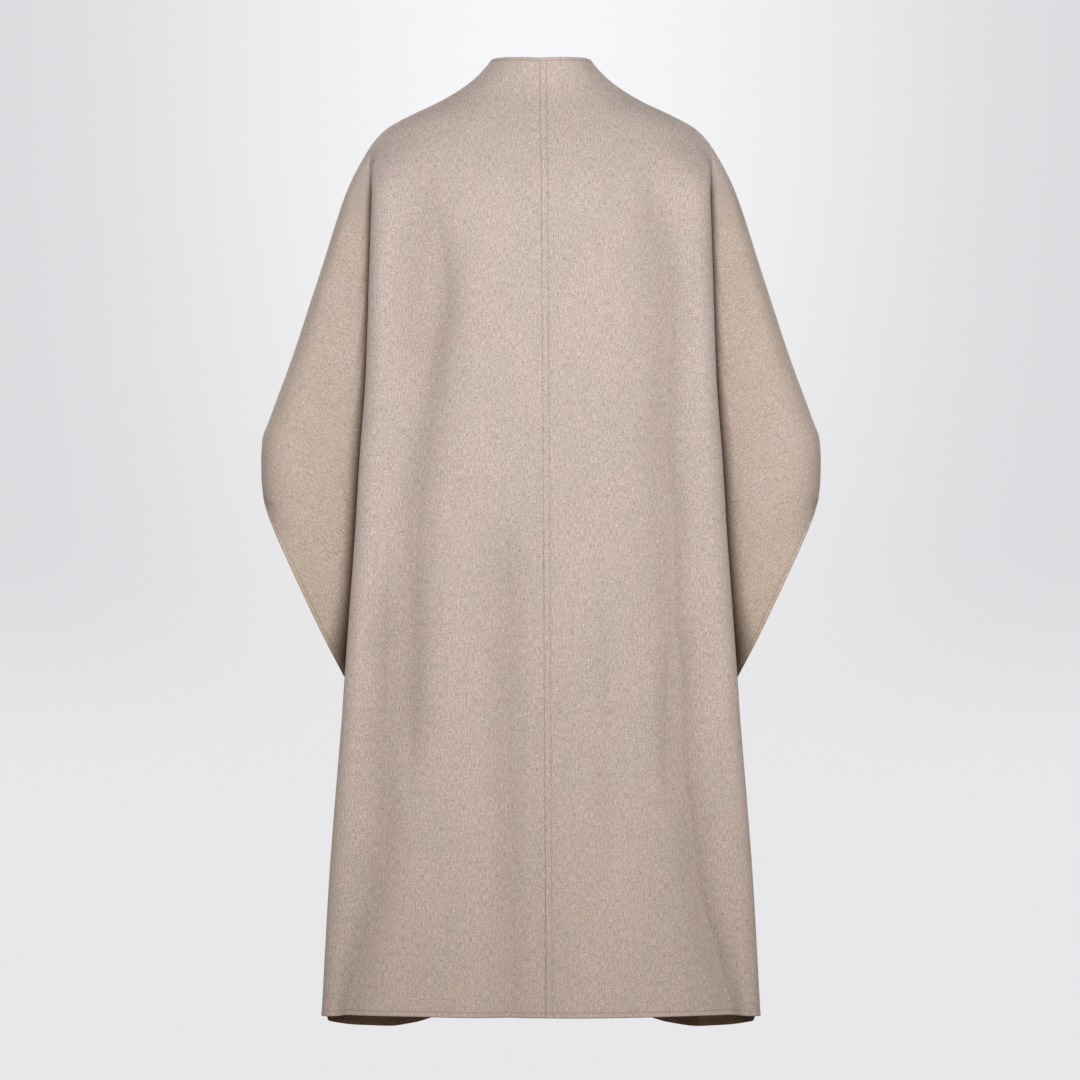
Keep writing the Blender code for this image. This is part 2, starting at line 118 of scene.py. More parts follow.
FOLD_COLUMNS = "z crest_x crest_y valley_x valley_y knee_x knee_y"
BACK_FOLD = table(
    FOLD_COLUMNS,
    (-0.080, 0.2005, 0.074, 0.1955, 0.050, 0.2030, 0.058),
    (-0.130, 0.2020, 0.092, 0.1875, 0.040, 0.2045, 0.064),
    (-0.200, 0.2040, 0.102, 0.1860, 0.036, 0.2065, 0.069),
    (-0.342, 0.2085, 0.107, 0.1840, 0.034, 0.2115, 0.071),
    (-0.439, 0.2156, 0.108, 0.1870, 0.030, 0.2185, 0.071),
    (-0.537, 0.2216, 0.107, 0.1920, 0.026, 0.2245, 0.070),
    (-0.634, 0.2288, 0.107, 0.1970, 0.022, 0.2315, 0.069),
    (-0.715, 0.2345, 0.106, 0.1980, 0.017, 0.2400, 0.050),
    (-0.745, 0.2365, 0.105, 0.2000, 0.013, 0.2440, 0.034),
    (UNDERARM, 0.2390, 0.103, 0.2035, 0.001, 0.2460, 0.010),
    (-0.940, 0.2525, 0.087, 0.2385, 0.000, 0.2560, 0.010),
    (HEM, 0.2630, 0.070, 0.2622, 0.000, 0.2660, 0.010),
)
FRONT_FOLD = table(
    FOLD_COLUMNS,
    (-0.080, 0.1985, 0.064, 0.1940, 0.046, 0.2015, 0.053),
    (-0.130, 0.1985, 0.078, 0.1850, 0.040, 0.2015, 0.058),
    (-0.200, 0.1995, 0.088, 0.1840, 0.036, 0.2025, 0.062),
    (-0.342, 0.2030, 0.097, 0.1820, 0.034, 0.2065, 0.064),
    (-0.439, 0.2090, 0.101, 0.1850, 0.030, 0.2125, 0.064),
    (-0.537, 0.2150, 0.101, 0.1900, 0.026, 0.2185, 0.063),
    (-0.634, 0.2220, 0.100, 0.1950, 0.022, 0.2255, 0.062),
    (-0.715, 0.2280, 0.099, 0.1970, 0.017, 0.2340, 0.047),
    (-0.745, 0.2300, 0.098, 0.1990, 0.013, 0.2370, 0.034),
    (UNDERARM, 0.2330, 0.096, 0.2035, 0.001, 0.2400, 0.010),
    (-0.940, 0.2490, 0.084, 0.2370, 0.000, 0.2540, 0.010),
    (HEM, 0.2625, 0.070, 0.2622, 0.000, 0.2660, 0.010),
)
CENTRE_BACK = table(
    "z x y square",
    (COLLAR_TOP, 0.0011, 0.0600, 2.25),
    (0.0200, 0.0010, 0.0625, 2.20),
    (0.0000, 0.0008, 0.0690, 2.20),
    (-0.0250, 0.0005, 0.0840, 2.25),
    (-0.0600, 0.0002, 0.1050, 2.35),
    (-0.1100, -0.0003, 0.1265, 2.50),
    (-0.1800, -0.0008, 0.1390, 2.70),
    (-0.2800, -0.0015, 0.1440, 2.70),
    (-0.5000, -0.0028, 0.1430, 2.70),
    (-0.8000, -0.0044, 0.1400, 2.50),
    (HEM, -0.0060, 0.1400, 2.30),
)
CENTRE_FRONT = table(
    "z x y square",
    (COLLAR_TOP, 0.0008, 0.0560, 2.20),
    (0.0200, 0.0008, 0.0610, 2.20),
    (0.0000, 0.0008, 0.0680, 2.20),
    (-0.0250, 0.0009, 0.0790, 2.30),
    (-0.0600, 0.0011, 0.0920, 2.40),
    (-0.1100, 0.0014, 0.1060, 2.50),
    (-0.1800, 0.0020, 0.1190, 2.60),
    (-0.2800, 0.0030, 0.1270, 2.60),
    (-0.5000, 0.0055, 0.1300, 2.60),
    (-0.8000, 0.0090, 0.1310, 2.50),
    (HEM, 0.0130, 0.1330, 2.30),
)
HEM_LINE = table(
    "share back front",
    (0.00, 0.0105, -0.0120),
    (0.27, 0.0105, -0.0132),
    (0.35, 0.0105, -0.0170),
    (0.43, 0.0103, -0.0232),
    (0.54, 0.0098, -0.0262),
    (0.66, 0.0085, -0.0245),
    (0.77, 0.0068, -0.0180),
    (0.90, 0.0025, -0.0060),
    (1.00, 0.0000, 0.0000),
)
# A drape's path runs down the cloth through places given as z and x.
Drape = namedtuple("Drape", "width depth fade_in fade_out path")
DRAPES = {
    "back_left": (
        Drape(
            0.0240, 0.0110, 0.120, 0.110,
            ((-0.045, 0.132), (-0.150, 0.142), (-0.245, 0.156), (-0.400, 0.153)),
        ),
        Drape(
            0.0180, 0.0170, 0.160, 0.150,
            ((-0.110, 0.126), (-0.245, 0.114), (-0.342, 0.127), (-0.427, 0.139),
             (-0.510, 0.149), (-0.710, 0.153), (-0.880, 0.158)),
        ),
        Drape(
            0.0190, 0.0150, 0.130, 0.0,
            ((-0.540, 0.179), (-0.710, 0.182), (-0.880, 0.186), (-0.980, 0.199),
             (-1.050, 0.217), (HEM, 0.233)),
        ),
        Drape(0.0200, 0.0110, 0.100, 0.0, ((-0.490, 0.041), (-0.800, 0.041), (HEM, 0.037))),
        Drape(0.0220, 0.0040, 0.160, 0.0, ((-0.600, -0.008), (HEM, -0.008))),
    ),
    "back_right": (
        Drape(
            0.0150, 0.0110, 0.140, 0.0,
            ((-0.045, 0.124), (-0.150, 0.138), (-0.245, 0.152), (-0.427, 0.149),
             (-0.510, 0.157), (-0.610, 0.158), (-0.710, 0.167), (-0.800, 0.168),
             (-0.880, 0.179), (-0.960, 0.190), (-1.030, 0.208), (HEM, 0.231)),
        ),
        Drape(
            0.0300, 0.0070, 0.200, 0.0,
            ((-0.045, 0.110), (-0.245, 0.134), (-0.510, 0.140), (-0.800, 0.158), (HEM, 0.214)),
        ),
        Drape(
            0.0090, 0.0050, 0.110, 0.120,
            ((-0.600, 0.153), (-0.720, 0.149), (-0.900, 0.148)),
        ),
        Drape(0.0100, 0.0045, 0.120, 0.140, ((-0.580, 0.071), (-1.020, 0.072))),
        Drape(0.0220, 0.0040, 0.160, 0.0, ((-0.600, 0.008), (HEM, 0.008))),
    ),
    "front_left": (
        Drape(0.0220, 0.0110, 0.260, 0.0, ((-0.220, 0.118), (-1.135, 0.185))),
        Drape(0.0200, 0.0080, 0.240, 0.0, ((-0.420, 0.062), (-1.135, 0.090))),
        Drape(0.0180, -0.0060, 0.240, 0.0, ((-0.450, 0.088), (-1.135, 0.128))),
    ),
    "front_right": (
        Drape(0.0210, 0.0115, 0.240, 0.0, ((-0.190, 0.126), (-1.135, 0.196))),
        Drape(0.0190, 0.0075, 0.260, 0.0, ((-0.500, 0.056), (-1.135, 0.079))),
        Drape(0.0190, -0.0055, 0.260, 0.0, ((-0.400, 0.095), (-1.135, 0.138))),
    ),
}
TROUGH_POWER = 1.3  # a bell would have 2
TROUGH_ROUND = 0.15
DRAPE_ENDS = (0.006, 0.030)  # how far before the crest the drapes are gone and whole
CORNER_WIDTH = 0.024  # of the tight bend between the body and the crest
CORNER_DEPTH = 0.025
CORNER_ROUND = 0.56
CORNER_LEAN = 1.5  # times the mean slope from the centre to the corner
BACK_HANDLE = 0.45
CORNER_HANDLE = 0.35
RETURN_HANDLE = 0.26
VALLEY_HANDLE = 0.42
VALLEY_TURN = 0.014  # the handle out of the valley, on a narrow wing
MOST_TURN = 0.35  # of a narrow wing's width
DIVE_TURN = 0.020  # the handle out of the valley, on a wide wing
KNEE_LEAN = 1.0  # degrees
KNEE_BEFORE = 0.009
KNEE_AFTER = 0.45  # of the way from the knee to the end
FULL_AHEAD = 0.100  # from the knee to the end, where the end's handle is whole
NARROW_WING = 0.060
WIDE_WING = 0.040  # past the crest
CREST_SHARE = 0.90  # of a plain section's half width
BEND_PULL = 0.030
CURVE_STEPS = 60
SLANT_STEP = 0.002
LEAST_SLANT = 0.5

PIECES = table(
    "name side face fold centre hem shift",
    ("back_left", 1, 1, BACK_FOLD, CENTRE_BACK, "back", 0.0),
    ("back_right", -1, 1, BACK_FOLD, CENTRE_BACK, "back", 3.7),
    ("front_left", 1, -1, FRONT_FOLD, CENTRE_FRONT, "front", 7.9),
    ("front_right", -1, -1, FRONT_FOLD, CENTRE_FRONT, "front", 12.3),
)

# ---- the fine cloth

BODY_STEPS = 62
WING_STEPS = 50
ROW_STEP = 0.0046
# Distances from an edge at which the grid has columns or rows of its own.
EDGE_PLACES = np.array(
    [0.0, 0.3, 0.7, 1.2, 1.8, 2.6, 3.4, 4.1, 4.8, 5.4, 6.0, 6.5, 6.9, 7.4, 8.2, 9.6]
) * 0.001
CREST = BODY_STEPS + len(EDGE_PLACES) - 1  # the column of the crest

HEM_STITCH = 0.0060
CUFF_STITCH = 0.0054
FRONT_STITCH = 0.0060
COLLAR_STITCH = 0.0041
FELL_STITCH = 0.0074  # the row beside the centre-back seam, on the right piece

EDGE_ROLL = 0.0011
EDGE_SHARE = 0.30  # of the wall's thickness, at the very edge
SEAM_ROLL = 0.0007  # the same for the centre-back seam
SEAM_SHARE = 0.76
THINNEST = 0.12 * WALL
TURNED_HEM = 0.00030
TURN_FADE = 0.0010
TURN_FLAT = 0.0002  # how far before the stitches it is still whole
FELL_RAISE = 0.00035
SEAM_RIDGE = 0.00045  # the left back, pushed up beside the seam
RIDGE_PLACE = 0.0018
STITCH_DENT = 0.00042
DENT_WIDTH = 0.00090
# These marks darken the wool: pressed nap, with painted shade in the stitch dents, along the edges
# and at the centre-back seam.
STITCH_MARK = 0.48  # how far a row of stitches presses the nap down
FELL_MARK = 0.28  # the same beside the centre-back seam
EDGE_MARK = 0.30
EDGE_MARK_WIDTH = 0.0009
END_MARK_WIDTH = 0.0010
CENTRE_MARK = 0.12
CENTRE_MARK_WIDTH = 0.0008

# Seam allowances, inside the cape: the columns' distances from the seam, on each side.
ALLOWANCE_PLACES = np.array([0.0082, 0.0048, 0.0018, 0.0])
ALLOWANCE_WALL = 0.0006
ALLOWANCE_GAP = 0.0002
STOPS_SHORT = 0.004  # of an edge or a seam

# Finer creases, laid over the drapes.
Crease = namedtuple("Crease", "zone top_z top_x foot_z foot_x width depth fade_in fade_out")
CREASES = {
    "back_left": (
        Crease("body", -0.020, 0.0600, -0.140, 0.0950, 0.016, 0.0012, 0.030, 0.060),
        Crease("body", -0.500, 0.0120, -1.120, 0.0150, 0.007, -0.0008, 0.100, 0.100),
        Crease("wing", -0.170, 0.2350, -0.520, 0.2900, 0.017, 0.0030, 0.090, 0.090),
        Crease("wing", -0.300, 0.2450, -0.640, 0.2620, 0.015, -0.0020, 0.080, 0.070),
    ),
    "back_right": (
        Crease("body", -0.018, 0.0660, -0.130, 0.0990, 0.015, 0.0011, 0.030, 0.060),
        Crease("body", -0.560, 0.0060, -0.900, 0.0060, 0.006, 0.0006, 0.090, 0.120),
        Crease("wing", -0.190, 0.2360, -0.500, 0.2820, 0.018, 0.0026, 0.090, 0.090),
        Crease("wing", -0.330, 0.2420, -0.650, 0.2600, 0.014, -0.0018, 0.090, 0.060),
    ),
    "front_left": (
        Crease("body", -0.030, 0.0700, -0.200, 0.1050, 0.017, 0.0016, 0.040, 0.080),
        Crease("body", -0.780, 0.0350, -1.140, 0.0420, 0.015, -0.0022, 0.120, 0.010),
        Crease("wing", -0.180, 0.2330, -0.510, 0.2860, 0.018, 0.0028, 0.090, 0.090),
    ),
    "front_right": (
        Crease("body", -0.028, 0.0640, -0.190, 0.1000, 0.016, 0.0015, 0.040, 0.080),
        Crease("body", -0.700, 0.0330, -1.140, 0.0380, 0.016, -0.0020, 0.140, 0.010),
        Crease("wing", -0.200, 0.2360, -0.530, 0.2880, 0.017, 0.0027, 0.090, 0.090),
    ),
}
WING_CREASE_STARTS = 0.028  # past the valley
WING_CREASE_FADE = 0.020
WING_CREASE_ENDS = (0.004, 0.030)  # before the section's end

# Shade painted into the wool's colour where it lies in the folds.
TROUGH_SHADE = 0.19  # at the bottom of a drape as deep as FULL_TROUGH
FULL_TROUGH = 0.017
SHADE_BELOW_CREST = (0.010, 0.030)  # where it starts and is whole in the deep fold
SHADE_STARTS = (-0.060, -0.130)
SHADED_WING = (-0.020, 0.014)  # a wing that ends nearer past the crest has less of it
WING_SHADE = table(  # how far it reaches past the crest, out on the wing
    "z reach",
    (-0.060, 0.010),
    (-0.270, 0.0125),
    (-0.370, 0.0165),
    (-0.440, 0.0190),
    (-0.510, 0.0205),
    (-0.590, 0.0230),
    (-0.630, 0.0280),
    (-0.670, 0.0340),
    (UNDERARM, 0.0340),
)

WING_GRAIN = np.radians(38.0)  # how far the grain leans on the wings
WING_GRAIN_STARTS = (0.070, 0.082)  # past the crest, along the cloth
WING_GRAIN_WHOLE = -0.16
WING_GRAIN_SHIFT = 0.9  # keeps the wing's pattern apart from the body's

STITCH_LENGTH = 0.0026
STITCH_PITCH = 0.0034
THREAD_RADIUS = 0.00026
THREAD_SIDES = 6
THREAD_POINTS = (-0.5, -0.3, 0.0, 0.3, 0.5)  # along a stitch, in stitch lengths
THREAD_TAPER = (0.55, 0.95, 1.0, 0.95, 0.55)
THREAD_SUNK = 0.4  # of the radius
CUFF_ROW_ENDS = 0.020  # above the underarm
ROW_MARGIN = 3  # columns

# ---- curves


def smooth_step(value, start, end):
    """0 at start, 1 at end, and level at both."""
    share = np.clip((value - start) / (end - start), 0.0, 1.0)
    return share * share * (3.0 - 2.0 * share)


def bell(distance, place, width, height):
    return height * np.exp(-(((distance - place) / width) ** 2))


def slopes_of(places, values):
    """Slopes of a smooth curve through the values that never overshoots them."""
    rise = np.diff(values) / np.diff(places)
    slopes = np.zeros(len(values))
    for i in range(1, len(values) - 1):
        if rise[i - 1] * rise[i] > 0.0:
            slopes[i] = 2.0 / (1.0 / rise[i - 1] + 1.0 / rise[i])
    slopes[0], slopes[-1] = rise[0], rise[-1]
    return slopes


def curve_through(places, values, at):
    """The smooth curve through the values, read at one place or at many."""
    slopes = slopes_of(places, values)
    at = np.clip(at, places[0], places[-1])
    i = np.clip(np.searchsorted(places, at) - 1, 0, len(places) - 2)
    span = places[i + 1] - places[i]
    t = (at - places[i]) / span
    return (
        values[i] * (1.0 + 2.0 * t) * (1.0 - t) ** 2
        + slopes[i] * span * t * (1.0 - t) ** 2
        + values[i + 1] * t * t * (3.0 - 2.0 * t)
        + slopes[i + 1] * span * t * t * (t - 1.0)
    )


def column(rows, name):
    return np.array([getattr(row, name) for row in rows])


def read(rows, name, z):
    """A column of a table at height z. The tables run downwards."""
    return float(curve_through(-column(rows, "z"), column(rows, name), -z))


def fold_point(piece, name, z):
    """The crest, the valley or the knee of a piece's deep fold, at one height."""
    return np.array([read(piece.fold, f"{name}_x", z), read(piece.fold, f"{name}_y", z)])


def hem_lift(face, share):
    """How far above HEM the hem hangs on a face, at shares of its half width."""
    return curve_through(column(HEM_LINE, "share"), column(HEM_LINE, face), share)


def heading_of(lean):
    """The direction outwards that leans inwards by an angle."""
    return np.array([np.cos(lean), -np.sin(lean)])


def bezier(start, start_handle, end_handle, end):
    """Points of a cubic curve."""
    t = np.linspace(0.0, 1.0, CURVE_STEPS + 1)[:, None]
    corners = [np.array(point) for point in (start, start_handle, end_handle, end)]
    weights = ((1 - t) ** 3, 3 * t * (1 - t) ** 2, 3 * t * t * (1 - t), t**3)
    return sum(weight * corner for weight, corner in zip(weights, corners))


def lengths_along(line):
    """The length of a line up to each of its points."""
    steps = np.linalg.norm(np.diff(line, axis=0), axis=1)
    return np.concatenate(([0.0], np.cumsum(steps)))


def read_along(line, places, wanted):
    """Points of a line at the wanted places."""
    return np.stack([np.interp(wanted, places, values) for values in line.T], axis=1)


def evenly(line):
    """The same line in even steps."""
    length = lengths_along(line)
    return read_along(line, length, np.linspace(0.0, length[-1], 2 * CURVE_STEPS + 1))


def spread(line, steps, pull, near_start=(), near_end=()):
    """Points along a line: at the distances asked for near its ends, and between
    them in even steps that are drawn closer together where the line bends."""
    parts = np.diff(line, axis=0)
    angles = np.unwrap(np.arctan2(parts[:, 1], parts[:, 0]))
    bends = np.abs(np.diff(angles, prepend=angles[0]))
    reach = np.concatenate(([0.0], np.cumsum(np.hypot(*parts.T) + pull * bends)))
    length = lengths_along(line)
    first = np.interp(near_start, length, reach) if len(near_start) else np.zeros(1)
    last = np.full(1, reach[-1])
    if len(near_end):
        last = np.interp(length[-1] - near_end[::-1], length, reach)
    middle = np.linspace(first[-1], last[0], steps + 1)
    return read_along(line, reach, np.concatenate((first[:-1], middle, last[1:])))


def unit(vectors):
    return vectors / np.linalg.norm(vectors, axis=-1, keepdims=True)


# ---- sections: x outwards, y away from the middle of the body

INWARD = np.array([0.0, -1.0])


def end_of(z):
    """Where a section ends, which way it heads there, and its handle's length."""
    if z <= UNDERARM:
        return np.array([read(SIDE_SEAM, "x", z), 0.0]), np.radians(90.0), 0.0
    x = read(ARM_SEAM, "x", z) if z >= CUFF_TOP else read(CUFF_EDGE, "x", z)
    y, lean, reach = (read(CUFF_EDGE, name, z) for name in ("y", "lean", "reach"))
    return np.array([x, y]), np.radians(lean), reach


def slant_of(z):
    """The sine of the angle between the cloth's edge and the section, at its end."""
    if z >= CUFF_TOP or z <= UNDERARM:
        return 1.0
    upper, _, _ = end_of(min(z + SLANT_STEP, CUFF_TOP))
    lower, _, _ = end_of(max(z - SLANT_STEP, UNDERARM))
    edge = unit(np.array([*(lower - upper), -2.0 * SLANT_STEP]))
    _, lean, _ = end_of(z)
    return max(LEAST_SLANT, float(np.linalg.norm(np.cross(edge, [*heading_of(lean), 0.0]))))


def drawn_in(name, x, z):
    """How far the drapes draw the body's cloth in, at one height."""
    depth = np.zeros_like(x)
    for drape in DRAPES[name]:
        places, middles = np.array(drape.path).T
        middle = float(curve_through(-places, middles, -z))
        strength = smooth_step(z, places[0], places[0] - drape.fade_in)
        if drape.fade_out:
            strength *= smooth_step(z, places[-1], places[-1] + drape.fade_out)
        aside = np.hypot((x - middle) / drape.width, TROUGH_ROUND)
        depth += strength * drape.depth * np.exp(-(aside**TROUGH_POWER))
    return depth


def creased(name, zone, x, z):
    """How far the finer creases draw a zone's cloth in, at one height."""
    depth = np.zeros_like(x)
    for crease in CREASES[name]:
        if crease.zone != zone:
            continue
        ends = (-crease.top_z, -crease.foot_z)
        middle = np.interp(-z, ends, (crease.top_x, crease.foot_x))
        strength = smooth_step(z, crease.top_z, crease.top_z - crease.fade_in)
        strength *= smooth_step(z, crease.foot_z, crease.foot_z + crease.fade_out)
        depth += bell(x, middle, crease.width, strength * crease.depth)
    return depth


def draped(piece, z, body):
    """The body's part of a section with its drapes, which end before the crest."""
    x, y = evenly(body).T
    fade = smooth_step(read(piece.fold, "crest_x", z) - x, *DRAPE_ENDS)
    inward = drawn_in(piece.name, x, z) + creased(piece.name, "body", x, z)
    return np.stack([x, y - fade * inward], axis=1)


def join(piece, z, body, wing, wing_pull=BEND_PULL):
    """One row of points from the centre to the section's end."""
    near_end = EDGE_PLACES / slant_of(z)
    body_points = spread(draped(piece, z, body), BODY_STEPS, BEND_PULL, near_start=EDGE_PLACES)
    return np.vstack([body_points, spread(wing, WING_STEPS, wing_pull, near_end=near_end)[1:]])


def plain_section(piece, z, centre, end):
    """A rounded quarter, for the collar and the shoulders, where nothing is folded."""
    square = read(piece.centre, "square", z)
    turn = np.linspace(0.0, np.pi / 2, 3 * CURVE_STEPS + 1)
    reach = end[0] - centre[0]
    x = centre[0] + reach * np.sin(turn) ** (2.0 / square)
    y = end[1] + (centre[1] - end[1]) * np.cos(turn) ** (2.0 / square)
    line = np.stack([x, y], axis=1)
    cut = int(np.searchsorted(x, centre[0] + CREST_SHARE * reach))
    return join(piece, z, line[: cut + 1], line[cut:])


def wing_out(piece, z, crest, valley, end, heading, reach):
    """From the valley to the section's end: a steep rise to the knee, then the level wing."""
    width = float(np.hypot(*(end - valley)))
    turn = min(VALLEY_TURN, MOST_TURN * width)
    narrow = bezier(valley, valley + turn * INWARD, end - reach * heading, end)
    wide = smooth_step(end[0] - crest[0], 0.0, WIDE_WING)
    if wide == 0.0:
        return evenly(narrow)
    knee = fold_point(piece, "knee", z)
    level = heading_of(-np.radians(KNEE_LEAN))
    ahead = min(1.0, float(np.hypot(*(end - knee))) / FULL_AHEAD)
    rise = bezier(valley, valley + DIVE_TURN * INWARD, knee - KNEE_BEFORE * level, knee)
    along = KNEE_AFTER * float(np.hypot(*(end - knee)))
    rest = bezier(knee, knee + along * level, end - ahead * reach * heading, end)
    return (1.0 - wide) * evenly(narrow) + wide * evenly(np.vstack([rise, rest[1:]]))


def body_out(centre, crest):
    """From the centre across the body and round a tight corner to the crest."""
    corner = crest + [-CORNER_WIDTH, CORNER_DEPTH]
    across, back = corner[0] - centre[0], centre[1] - corner[1]
    heading = heading_of(CORNER_LEAN * np.arctan2(back, across))
    flat = bezier(
        centre,
        centre + [BACK_HANDLE * across, 0.0],
        corner - CORNER_HANDLE * across * heading,
        corner,
    )
    bend = bezier(
        corner,
        corner + CORNER_ROUND * CORNER_WIDTH * heading,
        crest + [0.0, CORNER_ROUND * CORNER_DEPTH],
        crest,
    )
    return np.vstack([flat, bend[1:]])


def folded_section(piece, z, centre, end, lean, reach):
    """From the centre round the crest, into the valley and, over the arm, out again."""
    crest, valley = fold_point(piece, "crest", z), fold_point(piece, "valley", z)
    if z <= UNDERARM:
        valley = end
    body = body_out(centre, crest)
    depth = crest[1] - valley[1]
    inward = bezier(
        crest,
        crest + RETURN_HANDLE * depth * INWARD,
        valley - VALLEY_HANDLE * depth * INWARD,
        valley,
    )
    if z <= UNDERARM:
        return join(piece, z, body, inward)
    outward = wing_out(piece, z, crest, valley, end, heading_of(lean), reach)
    width = float(np.hypot(*(end - valley)))
    wing_pull = BEND_PULL * smooth_step(width, 0.0, NARROW_WING)
    return join(piece, z, body, np.vstack([inward, outward[1:]]), wing_pull)


def section(piece, z):
    """The middle of the wall at one height, in the quarter where x and y are positive."""
    seam = SEAM_GAP / 2
    edge = read(piece.centre, "x", z)
    start = piece.side * edge + seam if piece.face > 0 else edge
    centre = np.array([start, read(piece.centre, "y", z)])
    end, lean, reach = end_of(z)
    end[1] = max(end[1], seam)
    folded = smooth_step(z, FOLD_STARTS, FOLD_FORMED)
    if folded == 0.0:
        return plain_section(piece, z, centre, end)
    row = folded_section(piece, z, centre, end, lean, reach)
    if folded == 1.0:
        return row
    return folded * row + (1.0 - folded) * plain_section(piece, z, centre, end)


# ---- cloth

Cloth = namedtuple("Cloth", "rows surface normals from_centre from_end grain wing shade")


def heights():
    """The heights of the rows at the side seam, from the collar's edge to the hem."""
    top = COLLAR_TOP - EDGE_PLACES
    foot = HEM + EDGE_PLACES[::-1]
    rows = int(round((top[-1] - foot[0]) / ROW_STEP))
    return np.concatenate((top[:-1], np.linspace(top[-1], foot[0], rows), foot[1:]))


def painted_shade_row(piece, line, z):
    """How much shade is painted on each point of a section, for the light it loses to the folds
    around it.
    """
    x, y = line.T
    sunk = TROUGH_SHADE * np.clip(drawn_in(piece.name, x, z) / FULL_TROUGH, 0.0, 1.0)
    if z <= UNDERARM:
        return sunk
    crest_x, crest_y = fold_point(piece, "crest", z)
    deep = smooth_step(crest_y - y, *SHADE_BELOW_CREST)
    turn = CREST + int(np.argmin(x[CREST:]))
    deep[turn:] = smooth_step(x[turn:] - crest_x, read(WING_SHADE, "reach", z), 0.0)
    deep[:CREST] = 0.0
    here = smooth_step(x[-1] - crest_x, *SHADED_WING) * smooth_step(z, *SHADE_STARTS)
    return np.maximum(sunk, here * deep)


def crease_wing(piece, wing, from_end, z):
    """Draws the wing's part of a section in along its creases."""
    x = wing[:, 0]
    starts = read(piece.fold, "valley_x", z) + WING_CREASE_STARTS
    past = smooth_step(x, starts, starts + WING_CREASE_FADE)
    past[: int(np.argmin(x)) + 1] = 0.0
    near_end = smooth_step(from_end, *WING_CREASE_ENDS)
    wing[:, 1] -= creased(piece.name, "wing", x, z) * past * near_end


def grain_row(length, z):
    """The places across and along the grain, in metres, and how far each point belongs to
    the wing, where the grain leans with the arm."""
    beyond = length - length[CREST]
    wing = smooth_step(beyond, *WING_GRAIN_STARTS) * float(z >= UNDERARM)
    wing = wing * smooth_step(z, FOLD_STARTS, WING_GRAIN_WHOLE)
    leaned_across = beyond * np.cos(WING_GRAIN) - z * np.sin(WING_GRAIN) + WING_GRAIN_SHIFT
    leaned_along = beyond * np.sin(WING_GRAIN) + z * np.cos(WING_GRAIN)
    across = (1.0 - wing) * length + wing * leaned_across
    along = (1.0 - wing) * z + wing * leaned_along
    return np.stack([across, along], axis=1), wing


def cloth_row(piece, z):
    """One row of a piece's grid: the points, lengths from the centre and from the end, the
    grain's coordinates, the wing and the shade."""
    line = section(piece, z)
    shade = painted_shade_row(piece, line, z)
    length = lengths_along(line)
    to_end = length[-1] - length
    share = length / length[-1]
    to_hem = np.clip((UNDERARM - z) / (UNDERARM - HEM), 0.0, 1.0)
    to_collar = np.clip(z / COLLAR_TOP, 0.0, 1.0)
    up = to_hem * hem_lift(piece.hem, share) - to_collar * COLLAR_DIP * (1.0 - share) ** 2
    if FOLD_FORMED > z > UNDERARM:
        crease_wing(piece, line[CREST:], to_end[CREST:], z)
    points = np.stack([piece.side * line[:, 0], piece.face * line[:, 1], z + up], axis=1)
    return points, length, to_end * slant_of(z), *grain_row(length, z), shade


def unit_normals(piece, surface, rows):
    """Outward normals, square to the seams so that the two sides of a seam stay parallel."""
    down = np.gradient(surface, axis=0)
    across = np.gradient(surface, axis=1)
    normals = np.cross(across, down) * piece.side * piece.face
    normals[:, 0, 0] = 0.0
    sewn = (rows >= CUFF_TOP) | (rows <= UNDERARM)
    normals[sewn, -1, 1] = 0.0
    return unit(normals)


def cloth_of(piece):
    """The middle of a piece's wall as a grid of points, with all that is measured on it."""
    rows = heights()
    surface, *measured = map(np.array, zip(*(cloth_row(piece, z) for z in rows)))
    return Cloth(rows, surface, unit_normals(piece, surface, rows), *measured)


def rounded(distance, roll, share):
    """The share of the wall's thickness near an edge that is rolled over a width."""
    inside = 1.0 - np.clip(distance / roll, 0.0, 1.0)
    return share + (1.0 - share) * np.sqrt(1.0 - inside**2)


def turned(distance, place, raise_by):
    """The extra thickness of a turned edge, from the edge to its stitches."""
    start = smooth_step(distance, 0.0, TURN_FADE)
    return raise_by * start * smooth_step(distance, place + TURN_FADE, place - TURN_FLAT)


def from_top_and_hem(cloth):
    """Distances from the collar's edge and from the hem, at every point of the grid."""
    flat = np.zeros_like(cloth.from_centre)
    return (COLLAR_TOP - cloth.rows)[:, None] + flat, (cloth.rows - HEM)[:, None] + flat


def edges_of(piece, cloth):
    """The stitched edges of a piece: distances from the edge, the place of the
    stitches, the extra thickness, and where along the grid the edge counts."""
    from_top, from_hem = from_top_and_hem(cloth)
    open_cuff = ((cloth.rows < CUFF_TOP) & (cloth.rows > UNDERARM)).astype(float)[:, None]
    edges = [
        (from_top, COLLAR_STITCH, TURNED_HEM, 1.0),
        (from_hem, HEM_STITCH, TURNED_HEM, 1.0),
        (cloth.from_end, CUFF_STITCH, TURNED_HEM, open_cuff),
    ]
    if piece.face < 0:
        edges.append((cloth.from_centre, FRONT_STITCH, TURNED_HEM, 1.0))
    elif piece.side < 0:
        edges.append((cloth.from_centre, FELL_STITCH, FELL_RAISE, 1.0))
    return edges


